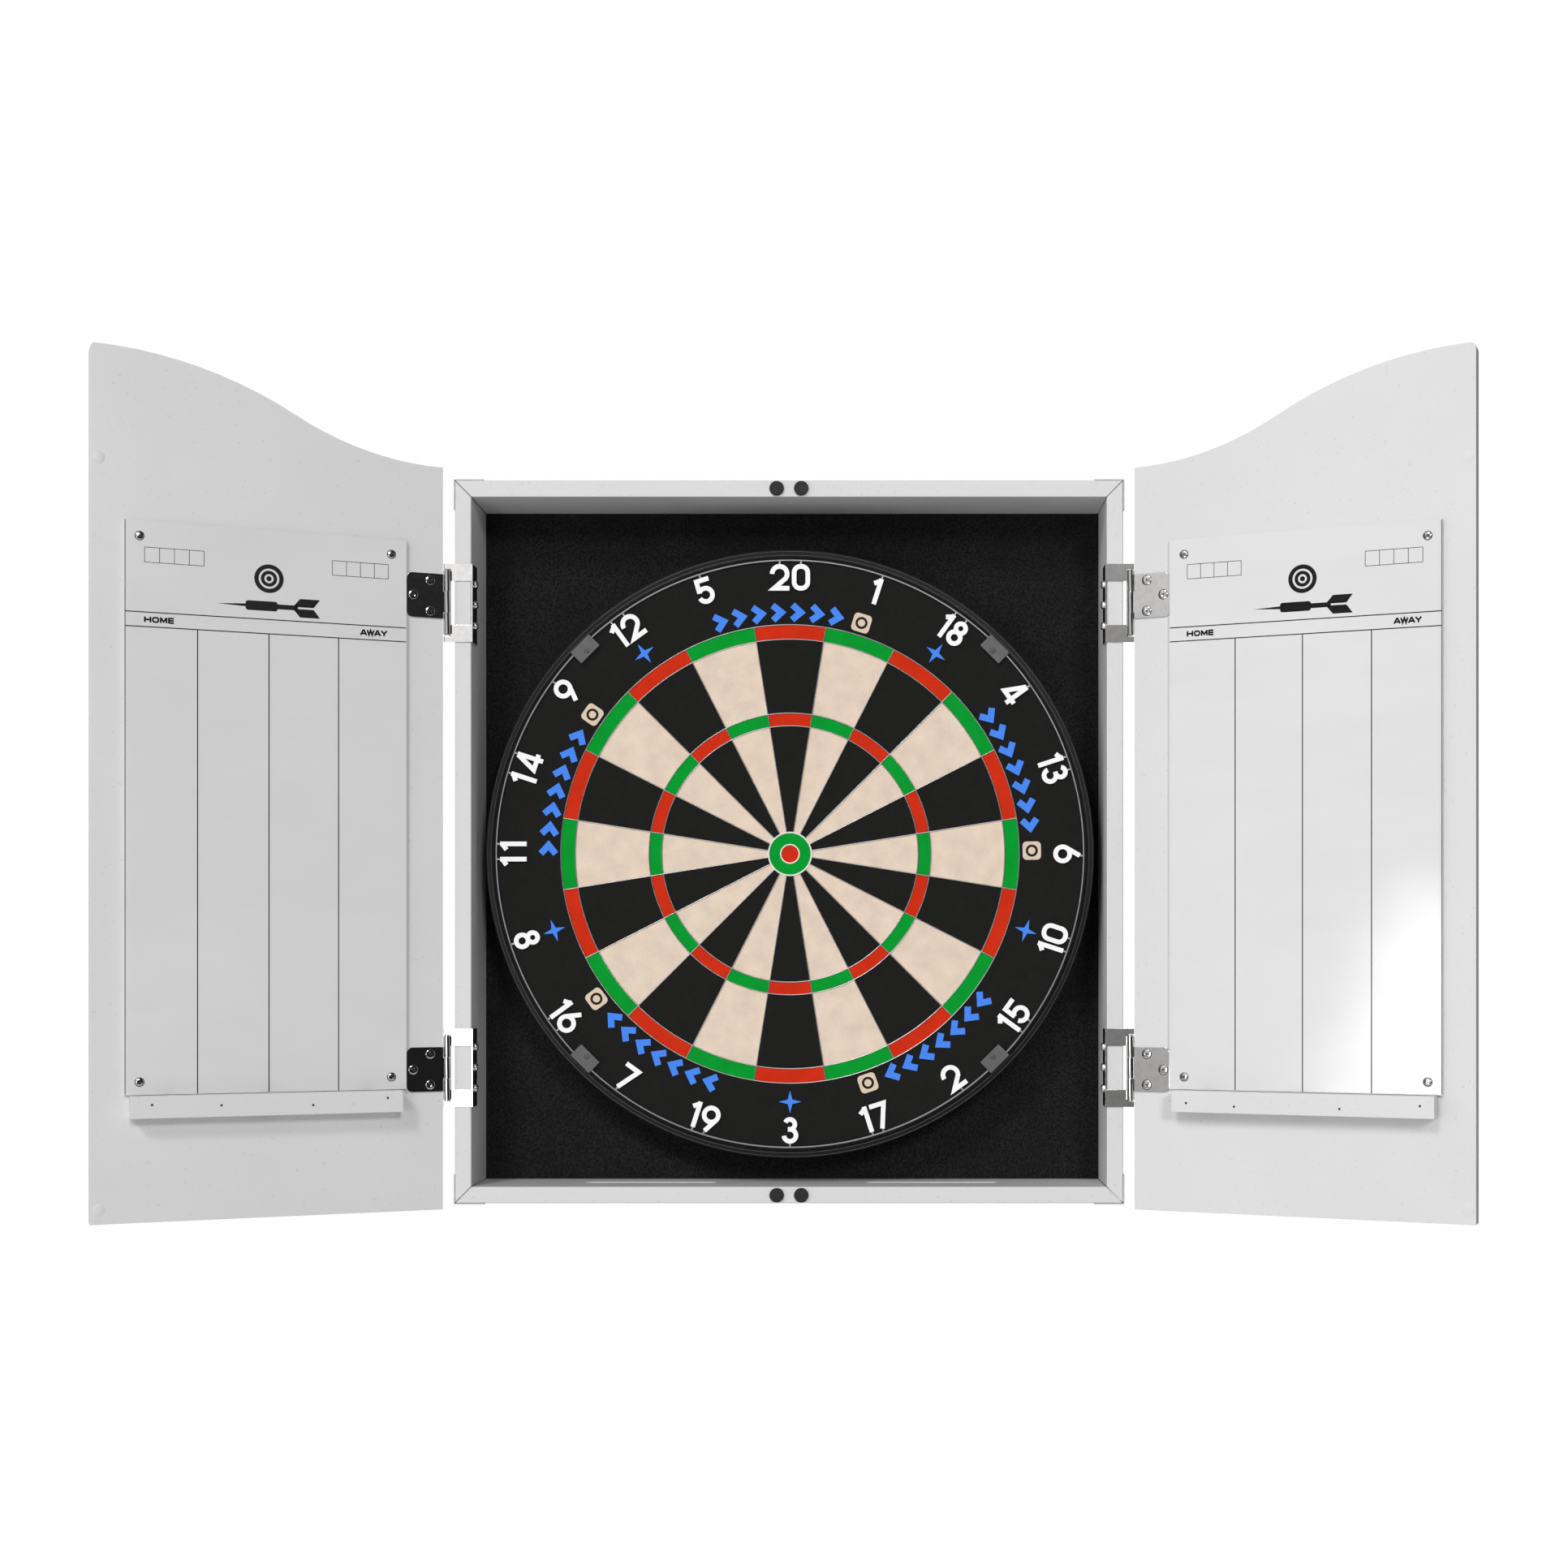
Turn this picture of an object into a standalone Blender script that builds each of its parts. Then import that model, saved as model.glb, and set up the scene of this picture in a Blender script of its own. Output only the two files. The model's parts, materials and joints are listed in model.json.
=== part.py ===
"""Wall-hung dart board cabinet: a shallow mitred case with a felt-lined back, two ogee-topped
doors on wrap-around hinges, a scoreboard and a dart rail on each door, and a bristle dart board
that hangs by its centre screw in a U-shaped bracket.

Metres. X runs to the right, Y into the wall and Z up. The origin is the centre of the back
panel's rear face, the one that lies on the wall. The doors stand open as in use.
"""

import math

import bmesh
import bpy

# Fits
GAP = 0.0003
HOLE_ROOM = 0.0003

# Case: four mitred walls of fibreboard with a rebated back
CASE_WIDTH = 0.490
CASE_HEIGHT = 0.530
CASE_DEPTH = 0.070
WALL = 0.012
REBATE = 0.006
PANEL_THICK = 0.008
LINING_THICK = 0.0017
EDGE_EASE = 0.0006
RIM_Y = -CASE_DEPTH
LINING_Y = -(PANEL_THICK + GAP + LINING_THICK)
INNER_X = CASE_WIDTH / 2 - WALL
INNER_Z = CASE_HEIGHT / 2 - WALL

# Shallow slots in the floor of the case, the pilot hole in its roof and the wall screw holes
SLOT_LENGTH = 0.098
SLOT_WIDTH = 0.008
SLOT_DEPTH = 0.003
SLOT_X = 0.105
SLOT_Y = RIM_Y + 0.034
PILOT_RADIUS = 0.0012
PILOT_DEPTH = 0.004
PILOT_Y = RIM_Y + 0.0236
WALL_HOLE_RADIUS = 0.0025
WALL_HOLE_X = 0.120
WALL_HOLE_Z = 0.120

# Corner braces and magnet catches
BRACE_LEG = 0.021
BRACE_THICK = 0.0008
BRACE_DEPTH = 0.020
BRACE_SETBACK = 0.0005
MAGNET_X = 0.0090
MAGNET_RADIUS = 0.0053
MAGNET_HEIGHT = 0.0022
MAGNET_STEM_RADIUS = 0.0034
MAGNET_STEM_LENGTH = 0.010

# Hinges: the pin stands just outside the case, level with the closed door's inner face
PIN_X = 0.2500
PIN_Y = RIM_Y - 0.0028
PIN_RADIUS = 0.0015
PIN_HOLE_RADIUS = 0.0016
PIN_HEAD_RADIUS = 0.0021
PIN_HEAD_HEIGHT = 0.0009
KNUCKLE_RADIUS = 0.0028
BARREL_LENGTH = 0.0465
KNUCKLE_LENGTH = 0.0152
LEAF_THICK = 0.0009
LEAF_HEIGHT = 0.0572
LEAF_ARM = 0.0124
LEAF_TAB = 0.0029
LEAF_LEG = 0.017
LEAF_HOLE_RADIUS = 0.0018
LEG_SCREW_Z = (0.0150, 0.0, -0.0155)
LEG_SCREW_DEPTH = 0.0095
HINGE_Z = {"upper": 0.1750, "lower": -0.1657}

# Doors. U runs across a door from its hinge edge, and the inner face carries the fittings.
DOOR_WIDTH = 0.2433
DOOR_THICK = 0.012
DOOR_EDGE = 0.0032
DOOR_INNER = 0.0001
DOOR_BOTTOM = -0.2690
DOOR_SHOULDER = 0.2733
DOOR_RISE = 0.0645
VALLEY_SHARE = 0.43
DOOR_CORNER = 0.004
ARC_STEPS = 10
OPEN_ANGLE = math.radians(156.5)

PLATE_REACH = 0.0266
PLATE_HALF = 0.0162
PLATE_CORNER = 0.004
PLATE_SHIFT = {"upper": 0.0040, "lower": -0.0008}
PLATE_SCREWS = ((0.0095, 0.0112), (0.0095, -0.0112), (0.0219, 0.0))

# Scoreboards and dart rails
BOARD_U = (0.0272, 0.2210)
BOARD_Z = (-0.1803, 0.2175)
BOARD_THICK = 0.003
BOARD_SCREW_U = (0.0380, 0.2111)
BOARD_SCREW_Z = (0.2065, -0.1713)
BOARD_SCREW_HOLE = 0.0018
BOARD_SCREW_SHANK = 0.0014
BOARD_SCREW_HEAD = 0.0033
BOARD_SCREW_DOME = 0.0012
BOARD_SCREW_DEPTH = 0.0075
RAIL_U = (0.0318, 0.2176)
RAIL_Z = (-0.1960, -0.1806)
RAIL_REACH = 0.015
RAIL_HOLES_U = (0.0567, 0.1247, 0.1927)
RAIL_HOLE_RADIUS = 0.0045

# Dart board
DART_Z = -0.008
DART_RADIUS = 0.2255
DART_BACK = LINING_Y - 0.0055
DART_THICK = 0.036
DART_FACE = DART_BACK - DART_THICK
BACKING_THICK = 0.008
BAND_THICK = 0.0008
BAND_LIP = 0.0045
BAND_LIP_THICK = 0.0008
ROUND_STEPS = 64
SECTORS = 20
NUMBERS = (20, 1, 18, 4, 13, 6, 10, 15, 2, 17, 3, 19, 7, 16, 8, 11, 14, 9, 12, 5)
FIRST_INVERTED = 6
LAST_INVERTED = 14

# Wires: radii of the ring centrelines, outermost first, with the steps between two radial wires
WIRE_RINGS = ((0.1700, 2), (0.1592, 2), (0.1045, 1), (0.0950, 1), (0.0159, 1))
WIRE_WIDTH = 0.0010
WIRE_HEIGHT = 0.0012
BULL_RING = (0.00635, 0.0075)

# Number ring: digits of flat strip that hang from a round wire by short ties
RING_RADIUS = 0.2176
RING_WIRE = 0.00075
DIGIT_TOP = 0.2147
DIGIT_HEIGHT = 0.0196
STROKE = 0.0034
DIGIT_THICK = 0.0015
TIE_WIDTH = 0.0012
TIE_THICK = 0.0009
DIGIT_GAP = 0.0018
WIDE_GAPS = {"11": 0.0044, "14": 0.0028}
DIGIT_WIDTHS = (13.5, 6.9, 14.5, 12.3, 14.8, 13.3, 13.9, 13.3, 12.5, 13.9)
DIGIT_ARC = math.radians(40)

# Clips that hold the number ring
CLIP_INNER = 0.2089
CLIP_OUTER = 0.2202
CLIP_WIDTH = 0.0193
CLIP_HEIGHT = 0.0029
CLIP_ROOF = 0.0007
CLIP_GROOVE = 0.0013

# Hanging: a U-shaped bracket on the lining, the screw in the board's back and three rubber feet
HANG_SCREW_SHANK = 0.0025
HANG_SCREW_HEAD = 0.0060
HANG_HEAD_Y = (LINING_Y - 0.0028, LINING_Y - 0.0006)
HANG_SCREW_DEPTH = 0.020
BRACKET_PLATE_Y = (LINING_Y - 0.0049, LINING_Y - 0.0031)
BRACKET_FOOT_Y = (LINING_Y - 0.0021, LINING_Y - GAP)
BRACKET_HALF = 0.023
BRACKET_TOP = 0.020
BRACKET_BOTTOM = -0.026
BRACKET_SLOT = 0.0028
BRACKET_MOUTH = 0.008
BRACKET_RISER = 0.0018
BRACKET_FOOT = 0.016
BRACKET_FOOT_WIDTH = 0.014
FOOT_SCREW_SHANK = 0.0016
FOOT_SCREW_HEAD = 0.0036
FOOT_SCREW_DOME = 0.0014
FOOT_SCREW_DEPTH = 0.0065
PAD_RADIUS = 0.011
PAD_PLACE = 0.190
PAD_ANGLES = (90, 210, 330)

WHITE_PAINT = ((0.66, 0.66, 0.66), 0.45, 0.0)
FELT = ((0.012, 0.012, 0.013), 0.95, 0.0)
RAW_BOARD = ((0.32, 0.21, 0.12), 0.80, 0.0)
BLACK_PLASTIC = ((0.015, 0.015, 0.015), 0.50, 0.0)
NICKEL = ((0.56, 0.55, 0.53), 0.22, 1.0)
ZINC = ((0.60, 0.61, 0.62), 0.35, 1.0)
SCORE_WHITE = ((0.72, 0.72, 0.72), 0.10, 0.0)
SISAL = ((0.03, 0.03, 0.03), 0.90, 0.0)
BAND_BLACK = ((0.01, 0.01, 0.01), 0.45, 0.6)
WIRE_STEEL = ((0.50, 0.50, 0.50), 0.35, 1.0)
NUMBER_WHITE = ((0.85, 0.85, 0.85), 0.50, 0.0)
CLIP_GREY = ((0.11, 0.11, 0.11), 0.55, 0.0)
RUBBER = ((0.02, 0.02, 0.02), 0.85, 0.0)


def clear_scene():
    for obj in list(bpy.data.objects):
        bpy.data.objects.remove(obj)


def material(name, finish):
    """A Principled material, made once for each name."""
    made = bpy.data.materials.get(name)
    if made:
        return made
    colour, roughness, metallic = finish
    made = bpy.data.materials.new(name)
    made.use_nodes = True
    shader = made.node_tree.nodes["Principled BSDF"]
    shader.inputs["Base Color"].default_value = (*colour, 1.0)
    shader.inputs["Roughness"].default_value = roughness
    shader.inputs["Metallic"].default_value = metallic
    made.diffuse_color = (*colour, 1.0)
    return made


def finish_mesh(bm, name):
    bmesh.ops.recalc_face_normals(bm, faces=bm.faces)
    mesh = bpy.data.meshes.new(name)
    bm.to_mesh(mesh)
    bm.free()
    return mesh


def add(name, mesh, finish, parent=None, smooth=False):
    """One sub-part: an object with its own material, under its body's empty."""
    obj = bpy.data.objects.new(name, mesh)
    bpy.context.scene.collection.objects.link(obj)
    obj.data.materials.clear()
    obj.data.materials.append(material(name + "_finish", finish))
    obj.parent = parent
    if smooth:
        mesh.shade_smooth()
        mesh.set_sharp_from_angle(angle=math.radians(35))
    return obj


def helper(name, mesh, parent=None):
    """A cutter or a shape to be joined: it isn't a sub-part itself."""
    obj = bpy.data.objects.new(name, mesh)
    bpy.context.scene.collection.objects.link(obj)
    obj.hide_render = True
    obj.display_type = "WIRE"
    obj.parent = parent
    return obj


def boolean(obj, other, operation, with_self=False):
    modifier = obj.modifiers.new(other.name, "BOOLEAN")
    modifier.operation = operation
    modifier.object = other
    modifier.solver = "EXACT"
    modifier.use_self = with_self


def ease_edges(obj, width=EDGE_EASE):
    """Breaks the sharp edges and leaves the shallow facets of an arc alone."""
    modifier = obj.modifiers.new("eased_edges", "BEVEL")
    modifier.width = width
    modifier.segments = 1
    modifier.limit_method = "ANGLE"
    modifier.angle_limit = math.radians(40)


def extrude_faces(bm, faces, offset):
    made = bmesh.ops.extrude_face_region(bm, geom=faces)
    moved = [v for v in made["geom"] if isinstance(v, bmesh.types.BMVert)]
    bmesh.ops.translate(bm, verts=moved, vec=offset)


def add_prism(bm, outline, near, far, place):
    """A closed prism: place turns (a, b, height) into a point, for the near and the far end."""
    near_ring = [bm.verts.new(place(a, b, near)) for a, b in outline]
    far_ring = [bm.verts.new(place(a, b, far)) for a, b in outline]
    bm.faces.new(near_ring)
    bm.faces.new(list(reversed(far_ring)))
    for i in range(len(outline)):
        j = (i + 1) % len(outline)
        bm.faces.new([near_ring[j], near_ring[i], far_ring[i], far_ring[j]])


def along_y(a, b, height):
    return (a, height, b)


def along_z(a, b, height):
    return (a, b, height)


def along_x(a, b, height):
    return (height, a, b)


def prism_mesh(name, outline, near, far, place):
    bm = bmesh.new()
    add_prism(bm, outline, near, far, place)
    return finish_mesh(bm, name)


def rectangle(low_a, high_a, low_b, high_b):
    return [(low_a, low_b), (high_a, low_b), (high_a, high_b), (low_a, high_b)]


def box_mesh(name, x, y, z):
    return prism_mesh(name, rectangle(*x, *z), *y, along_y)


def circle(centre, radius, steps, start=0.0):
    """A closed round outline of even steps, from the start angle in radians."""
    points = []
    for i in range(steps):
        angle = start + 2 * math.pi * i / steps
        points.append((centre[0] + radius * math.cos(angle), centre[1] + radius * math.sin(angle)))
    return points


def arc(centre, radius, start, end, steps):
    """Points from the start angle to the end angle, in degrees, both included."""
    points = []
    for i in range(steps + 1):
        angle = math.radians(start + (end - start) * i / steps)
        points.append((centre[0] + radius * math.cos(angle), centre[1] + radius * math.sin(angle)))
    return points


def turned_mesh(name, profile, steps, centre=(0.0, 0.0)):
    """A solid turned about an axis along Y. The profile's points are (radius, y), radius 0 at its ends."""
    bm = bmesh.new()
    rings = []
    for radius, y in profile:
        if radius == 0:
            rings.append([bm.verts.new((centre[0], y, centre[1]))])
        else:
            rings.append([bm.verts.new((a, y, b)) for a, b in circle(centre, radius, steps)])
    for first, second in zip(rings, rings[1:]):
        for i in range(steps):
            j = (i + 1) % steps
            corners = [first[i % len(first)], first[j % len(first)]]
            corners += [second[j % len(second)], second[i % len(second)]]
            bm.faces.new(list(dict.fromkeys(corners)))
    return finish_mesh(bm, name)


def ring_mesh(name, profile, steps, centre=(0.0, 0.0)):
    """A ring turned about an axis along Y. The profile is a closed outline of (radius, y)."""
    bm = bmesh.new()
    rings = []
    for radius, y in profile:
        rings.append([bm.verts.new((a, y, b)) for a, b in circle(centre, radius, steps)])
    for k in range(len(rings)):
        first, second = rings[k], rings[(k + 1) % len(rings)]
        for i in range(steps):
            j = (i + 1) % steps
            bm.faces.new([first[i], first[j], second[j], second[i]])
    return finish_mesh(bm, name)


def cylinder_mesh(name, centre, radius, near, far, place, steps=12):
    return prism_mesh(name, circle(centre, radius, steps), near, far, place)


def rounded_rectangle(low_a, high_a, low_b, high_b, radius, steps):
    outline = []
    corners = ((high_a, high_b, 0), (low_a, high_b, 90), (low_a, low_b, 180), (high_a, low_b, 270))
    for a, b, start in corners:
        centre = (a + (radius if a == low_a else -radius), b + (radius if b == low_b else -radius))
        outline += arc(centre, radius, start, start + 90, steps)
    return outline


# ---------------------------------------------------------------- case


def wall_profile():
    """(inward, y) outline of a case wall, with the rebate that the back panel sits in."""
    step = WALL - REBATE
    floor = -(PANEL_THICK + GAP)
    return [(0.0, 0.0), (step, 0.0), (step, floor), (WALL, floor), (WALL, RIM_Y), (0.0, RIM_Y)]


def mitred_wall(name, length, place, finish=WHITE_PAINT):
    """A wall whose ends are mitred at 45 degrees. place turns (along, inward, y) into a point."""
    bm = bmesh.new()
    relief = GAP / math.sqrt(2)
    ends = []
    for side in (-1, 1):
        ring = []
        for inward, y in wall_profile():
            ring.append(bm.verts.new(place(side * (length / 2 - inward - relief), inward, y)))
        ends.append(ring)
    bm.faces.new(ends[0])
    bm.faces.new(list(reversed(ends[1])))
    count = len(ends[0])
    for i in range(count):
        j = (i + 1) % count
        bm.faces.new([ends[0][j], ends[0][i], ends[1][i], ends[1][j]])
    return add(name, finish_mesh(bm, name), finish)


def slot_outline(centre_x):
    """A round-ended slot in the floor of the case, as (x, y)."""
    end = SLOT_WIDTH / 2
    reach = SLOT_LENGTH / 2 - end
    right = arc((centre_x + reach, SLOT_Y), end, -90, 90, 6)
    left = arc((centre_x - reach, SLOT_Y), end, 90, 270, 6)
    return right + left


def make_case_walls(body):
    half_w, half_h = CASE_WIDTH / 2, CASE_HEIGHT / 2
    walls = {
        "case_top": mitred_wall("case_top", CASE_WIDTH, lambda s, d, y: (s, y, half_h - d)),
        "case_bottom": mitred_wall("case_bottom", CASE_WIDTH, lambda s, d, y: (s, y, d - half_h)),
        "case_left": mitred_wall("case_left", CASE_HEIGHT, lambda s, d, y: (d - half_w, y, s)),
        "case_right": mitred_wall("case_right", CASE_HEIGHT, lambda s, d, y: (half_w - d, y, s)),
    }
    for side in (-1, 1):
        outline = slot_outline(side * SLOT_X)
        top = -INNER_Z + 0.002
        cutter = prism_mesh("floor_slot_cutter", outline, -INNER_Z - SLOT_DEPTH, top, along_z)
        boolean(walls["case_bottom"], helper("floor_slot_cutter", cutter), "DIFFERENCE")
    low, high = INNER_Z - 0.002, INNER_Z + PILOT_DEPTH
    pilot = cylinder_mesh("pilot_cutter", (0.0, PILOT_Y), PILOT_RADIUS, low, high, along_z, 8)
    boolean(walls["case_top"], helper("pilot_cutter", pilot), "DIFFERENCE")
    hole = MAGNET_STEM_RADIUS + HOLE_ROOM
    for z_sign, wall in ((1, "case_top"), (-1, "case_bottom")):
        for x_sign in (-1, 1):
            centre = (x_sign * MAGNET_X, z_sign * (half_h - WALL / 2))
            depth = RIM_Y + MAGNET_STEM_LENGTH + 2 * GAP
            cutter = cylinder_mesh("magnet_cutter", centre, hole, RIM_Y - 0.002, depth, along_y, 12)
            boolean(walls[wall], helper("magnet_cutter", cutter), "DIFFERENCE")
    for wall in walls.values():
        wall.parent = body
        ease_edges(wall)


def make_magnets(body):
    z_rim = CASE_HEIGHT / 2 - WALL / 2
    cap, round_off = MAGNET_RADIUS, 0.0004
    front = RIM_Y - MAGNET_HEIGHT
    profile = [
        (0, front),
        (cap - round_off, front),
        (cap, front + round_off),
        (cap, RIM_Y - GAP),
        (MAGNET_STEM_RADIUS, RIM_Y - GAP),
        (MAGNET_STEM_RADIUS, RIM_Y + MAGNET_STEM_LENGTH),
        (0, RIM_Y + MAGNET_STEM_LENGTH),
    ]
    for z_sign, level in ((1, "top"), (-1, "bottom")):
        for x_sign, side in ((-1, "left"), (1, "right")):
            name = f"magnet_catch_{level}_{side}"
            mesh = turned_mesh(name, profile, 20, (x_sign * MAGNET_X, z_sign * z_rim))
            add(name, mesh, BLACK_PLASTIC, body, smooth=True)


def make_braces(body):
    """Thin angle plates round the outside of each corner, at the front of the case."""
    half_w, half_h = CASE_WIDTH / 2, CASE_HEIGHT / 2
    near = RIM_Y + BRACE_SETBACK
    for z_sign, level in ((1, "top"), (-1, "bottom")):
        for x_sign, side in ((-1, "left"), (1, "right")):
            name = f"corner_brace_{level}_{side}"
            inner, outer = GAP, GAP + BRACE_THICK
            outline = [
                (inner, inner),
                (inner, -BRACE_LEG),
                (outer, -BRACE_LEG),
                (outer, outer),
                (-BRACE_LEG, outer),
                (-BRACE_LEG, inner),
            ]
            placed = [(x_sign * (half_w + a), z_sign * (half_h + b)) for a, b in outline]
            add(name, prism_mesh(name, placed, near, near + BRACE_DEPTH, along_y), WHITE_PAINT, body)


def make_back(body):
    half_x, half_z = INNER_X + REBATE - GAP, INNER_Z + REBATE - GAP
    mesh = box_mesh("back_panel", (-half_x, half_x), (-PANEL_THICK, 0.0), (-half_z, half_z))
    panel = add("back_panel", mesh, RAW_BOARD, body)
    half_x, half_z = INNER_X - GAP, INNER_Z - GAP
    depth = (LINING_Y, LINING_Y + LINING_THICK)
    mesh = box_mesh("back_lining", (-half_x, half_x), depth, (-half_z, half_z))
    lining = add("back_lining", mesh, FELT, body)
    holes = [(x * WALL_HOLE_X, z * WALL_HOLE_Z, WALL_HOLE_RADIUS) for x in (-1, 1) for z in (-1, 1)]
    holes += [(x, z, FOOT_SCREW_SHANK + HOLE_ROOM) for x, z in foot_centres()]
    for x, z, radius in holes:
        mesh = cylinder_mesh("back_hole_cutter", (x, z), radius, -0.02, 0.01, along_y, 10)
        cutter = helper("back_hole_cutter", mesh)
        boolean(panel, cutter, "DIFFERENCE")
        boolean(lining, cutter, "DIFFERENCE")


# ---------------------------------------------------------------- board bracket


def foot_centres():
    """Centres of the bracket's three feet: left, right and below."""
    reach = BRACKET_HALF + BRACKET_FOOT / 2
    low = DART_Z + BRACKET_BOTTOM - BRACKET_FOOT / 2
    middle = DART_Z + (BRACKET_TOP + BRACKET_BOTTOM) / 2
    return ((-reach, middle), (reach, middle), (0.0, low))


def make_bracket(body):
    """A plate with a U-shaped slot, raised off the lining on three stepped feet."""
    top, bottom = DART_Z + BRACKET_TOP, DART_Z + BRACKET_BOTTOM
    seat = arc((0.0, DART_Z), BRACKET_SLOT, 360, 180, 8)
    flare = BRACKET_MOUTH - BRACKET_SLOT
    outline = [(BRACKET_MOUTH, top), (BRACKET_SLOT, top - flare)] + seat
    outline += [(-BRACKET_SLOT, top - flare), (-BRACKET_MOUTH, top)]
    outline += [(-BRACKET_HALF, top), (-BRACKET_HALF, bottom), (BRACKET_HALF, bottom), (BRACKET_HALF, top)]
    mesh = prism_mesh("board_bracket", outline, *BRACKET_PLATE_Y, along_y)
    bracket = add("board_bracket", mesh, ZINC, body)
    half = BRACKET_FOOT_WIDTH / 2
    middle = (top + bottom) / 2
    for side in (-1, 1):
        edge = side * BRACKET_HALF
        inner, outer = edge - side * BRACKET_RISER, edge + side * BRACKET_FOOT
        step = [
            (inner, BRACKET_PLATE_Y[0]),
            (edge, BRACKET_PLATE_Y[0]),
            (edge, BRACKET_FOOT_Y[0]),
            (outer, BRACKET_FOOT_Y[0]),
            (outer, BRACKET_FOOT_Y[1]),
            (inner, BRACKET_FOOT_Y[1]),
        ]
        mesh = prism_mesh("bracket_foot", step, middle - half, middle + half, along_z)
        boolean(bracket, helper("bracket_foot", mesh), "UNION")
    step = [
        (BRACKET_PLATE_Y[0], bottom + BRACKET_RISER),
        (BRACKET_PLATE_Y[0], bottom),
        (BRACKET_FOOT_Y[0], bottom),
        (BRACKET_FOOT_Y[0], bottom - BRACKET_FOOT),
        (BRACKET_FOOT_Y[1], bottom - BRACKET_FOOT),
        (BRACKET_FOOT_Y[1], bottom + BRACKET_RISER),
    ]
    mesh = prism_mesh("bracket_foot", step, -half, half, along_x)
    boolean(bracket, helper("bracket_foot", mesh), "UNION")
    for centre in foot_centres():
        mesh = cylinder_mesh("bracket_hole", centre, FOOT_SCREW_SHANK + HOLE_ROOM, -0.02, 0.0, along_y, 10)
        boolean(bracket, helper("bracket_hole", mesh), "DIFFERENCE")


def make_bracket_screws(body):
    head_y = BRACKET_FOOT_Y[0] - GAP
    profile = [
        (0, head_y - FOOT_SCREW_DOME),
        (FOOT_SCREW_HEAD * 0.7, head_y - FOOT_SCREW_DOME * 0.7),
        (FOOT_SCREW_HEAD, head_y),
        (FOOT_SCREW_SHANK, head_y),
        (FOOT_SCREW_SHANK, head_y + FOOT_SCREW_DEPTH),
        (0, head_y + FOOT_SCREW_DEPTH + FOOT_SCREW_SHANK),
    ]
    for side, centre in zip(("left", "right", "lower"), foot_centres()):
        name = f"bracket_screw_{side}"
        add(name, turned_mesh(name, profile, 12, centre), ZINC, body, smooth=True)


# ---------------------------------------------------------------- hinges


def knuckle(name, low, high, parent):
    mesh = cylinder_mesh(name, (0.0, 0.0), KNUCKLE_RADIUS, low, high, along_z, 14)
    return helper(name, mesh, parent)


def cut_pin_hole(leaf, parent):
    mesh = cylinder_mesh("pin_hole", (0.0, 0.0), PIN_HOLE_RADIUS, -LEAF_HEIGHT, LEAF_HEIGHT, along_z, 12)
    boolean(leaf, helper("pin_hole", mesh, parent), "DIFFERENCE")


def hinge_origin(name, side, level, parent=None):
    """An empty on the pin's axis, at the middle of one hinge."""
    empty = bpy.data.objects.new(name, None)
    bpy.context.scene.collection.objects.link(empty)
    empty.parent = parent
    if parent is None:
        empty.location = (side * PIN_X, PIN_Y, HINGE_Z[level])
    else:
        empty.location = (0.0, 0.0, HINGE_Z[level])
    return empty


def make_frame_leaf(side, side_name, level):
    """The leaf that wraps the rim: two arms across it, and a leg on the inside of the wall."""
    origin = hinge_origin(f"{side_name}_{level}_hinge_place", side, level)
    name = f"{side_name}_{level}_frame_leaf"
    rim = RIM_Y - PIN_Y
    front, back = rim - GAP - LEAF_THICK, rim - GAP
    wall_face = INNER_X - PIN_X - GAP
    leg_x = (side * (wall_face - LEAF_THICK), side * wall_face)
    half = LEAF_HEIGHT / 2
    leaf = add(name, box_mesh(name, leg_x, (front, rim + LEAF_LEG), (-half, half)), NICKEL, origin)
    for sign in (-1, 1):
        arm_z = (sign * half, sign * (half - LEAF_ARM))
        arm = box_mesh("leaf_arm", (side * (wall_face - LEAF_THICK / 2), 0.0), (front, back), arm_z)
        boolean(leaf, helper("leaf_arm", arm, origin), "UNION")
        near = KNUCKLE_LENGTH / 2 + GAP
        low, high = sorted((sign * near, sign * BARREL_LENGTH / 2))
        boolean(leaf, knuckle("frame_knuckle", low, high, origin), "UNION")
        room = BARREL_LENGTH / 2 + PIN_HEAD_HEIGHT + 2 * GAP
        low, high = sorted((sign * BARREL_LENGTH / 2, sign * room))
        boolean(leaf, knuckle("pin_head_room", low, high, origin), "DIFFERENCE")
        tab_z = (sign * room, sign * half)
        tab = box_mesh("leaf_tab", (-side * LEAF_TAB, side * LEAF_TAB), (front, back), tab_z)
        boolean(leaf, helper("leaf_tab", tab, origin), "UNION")
    cut_pin_hole(leaf, origin)
    for z in LEG_SCREW_Z:
        centre = (rim + LEG_SCREW_DEPTH, z)
        hole = cylinder_mesh("leg_hole", centre, LEAF_HOLE_RADIUS, *leg_span(side), along_x, 8)
        boolean(leaf, helper("leg_hole", hole, origin), "DIFFERENCE")


def leg_span(side):
    """Where a screw hole's cutter starts and ends across the leaf's leg."""
    reach = PIN_X - INNER_X
    return (-side * (reach + 0.005), -side * (reach - 0.005))


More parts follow.
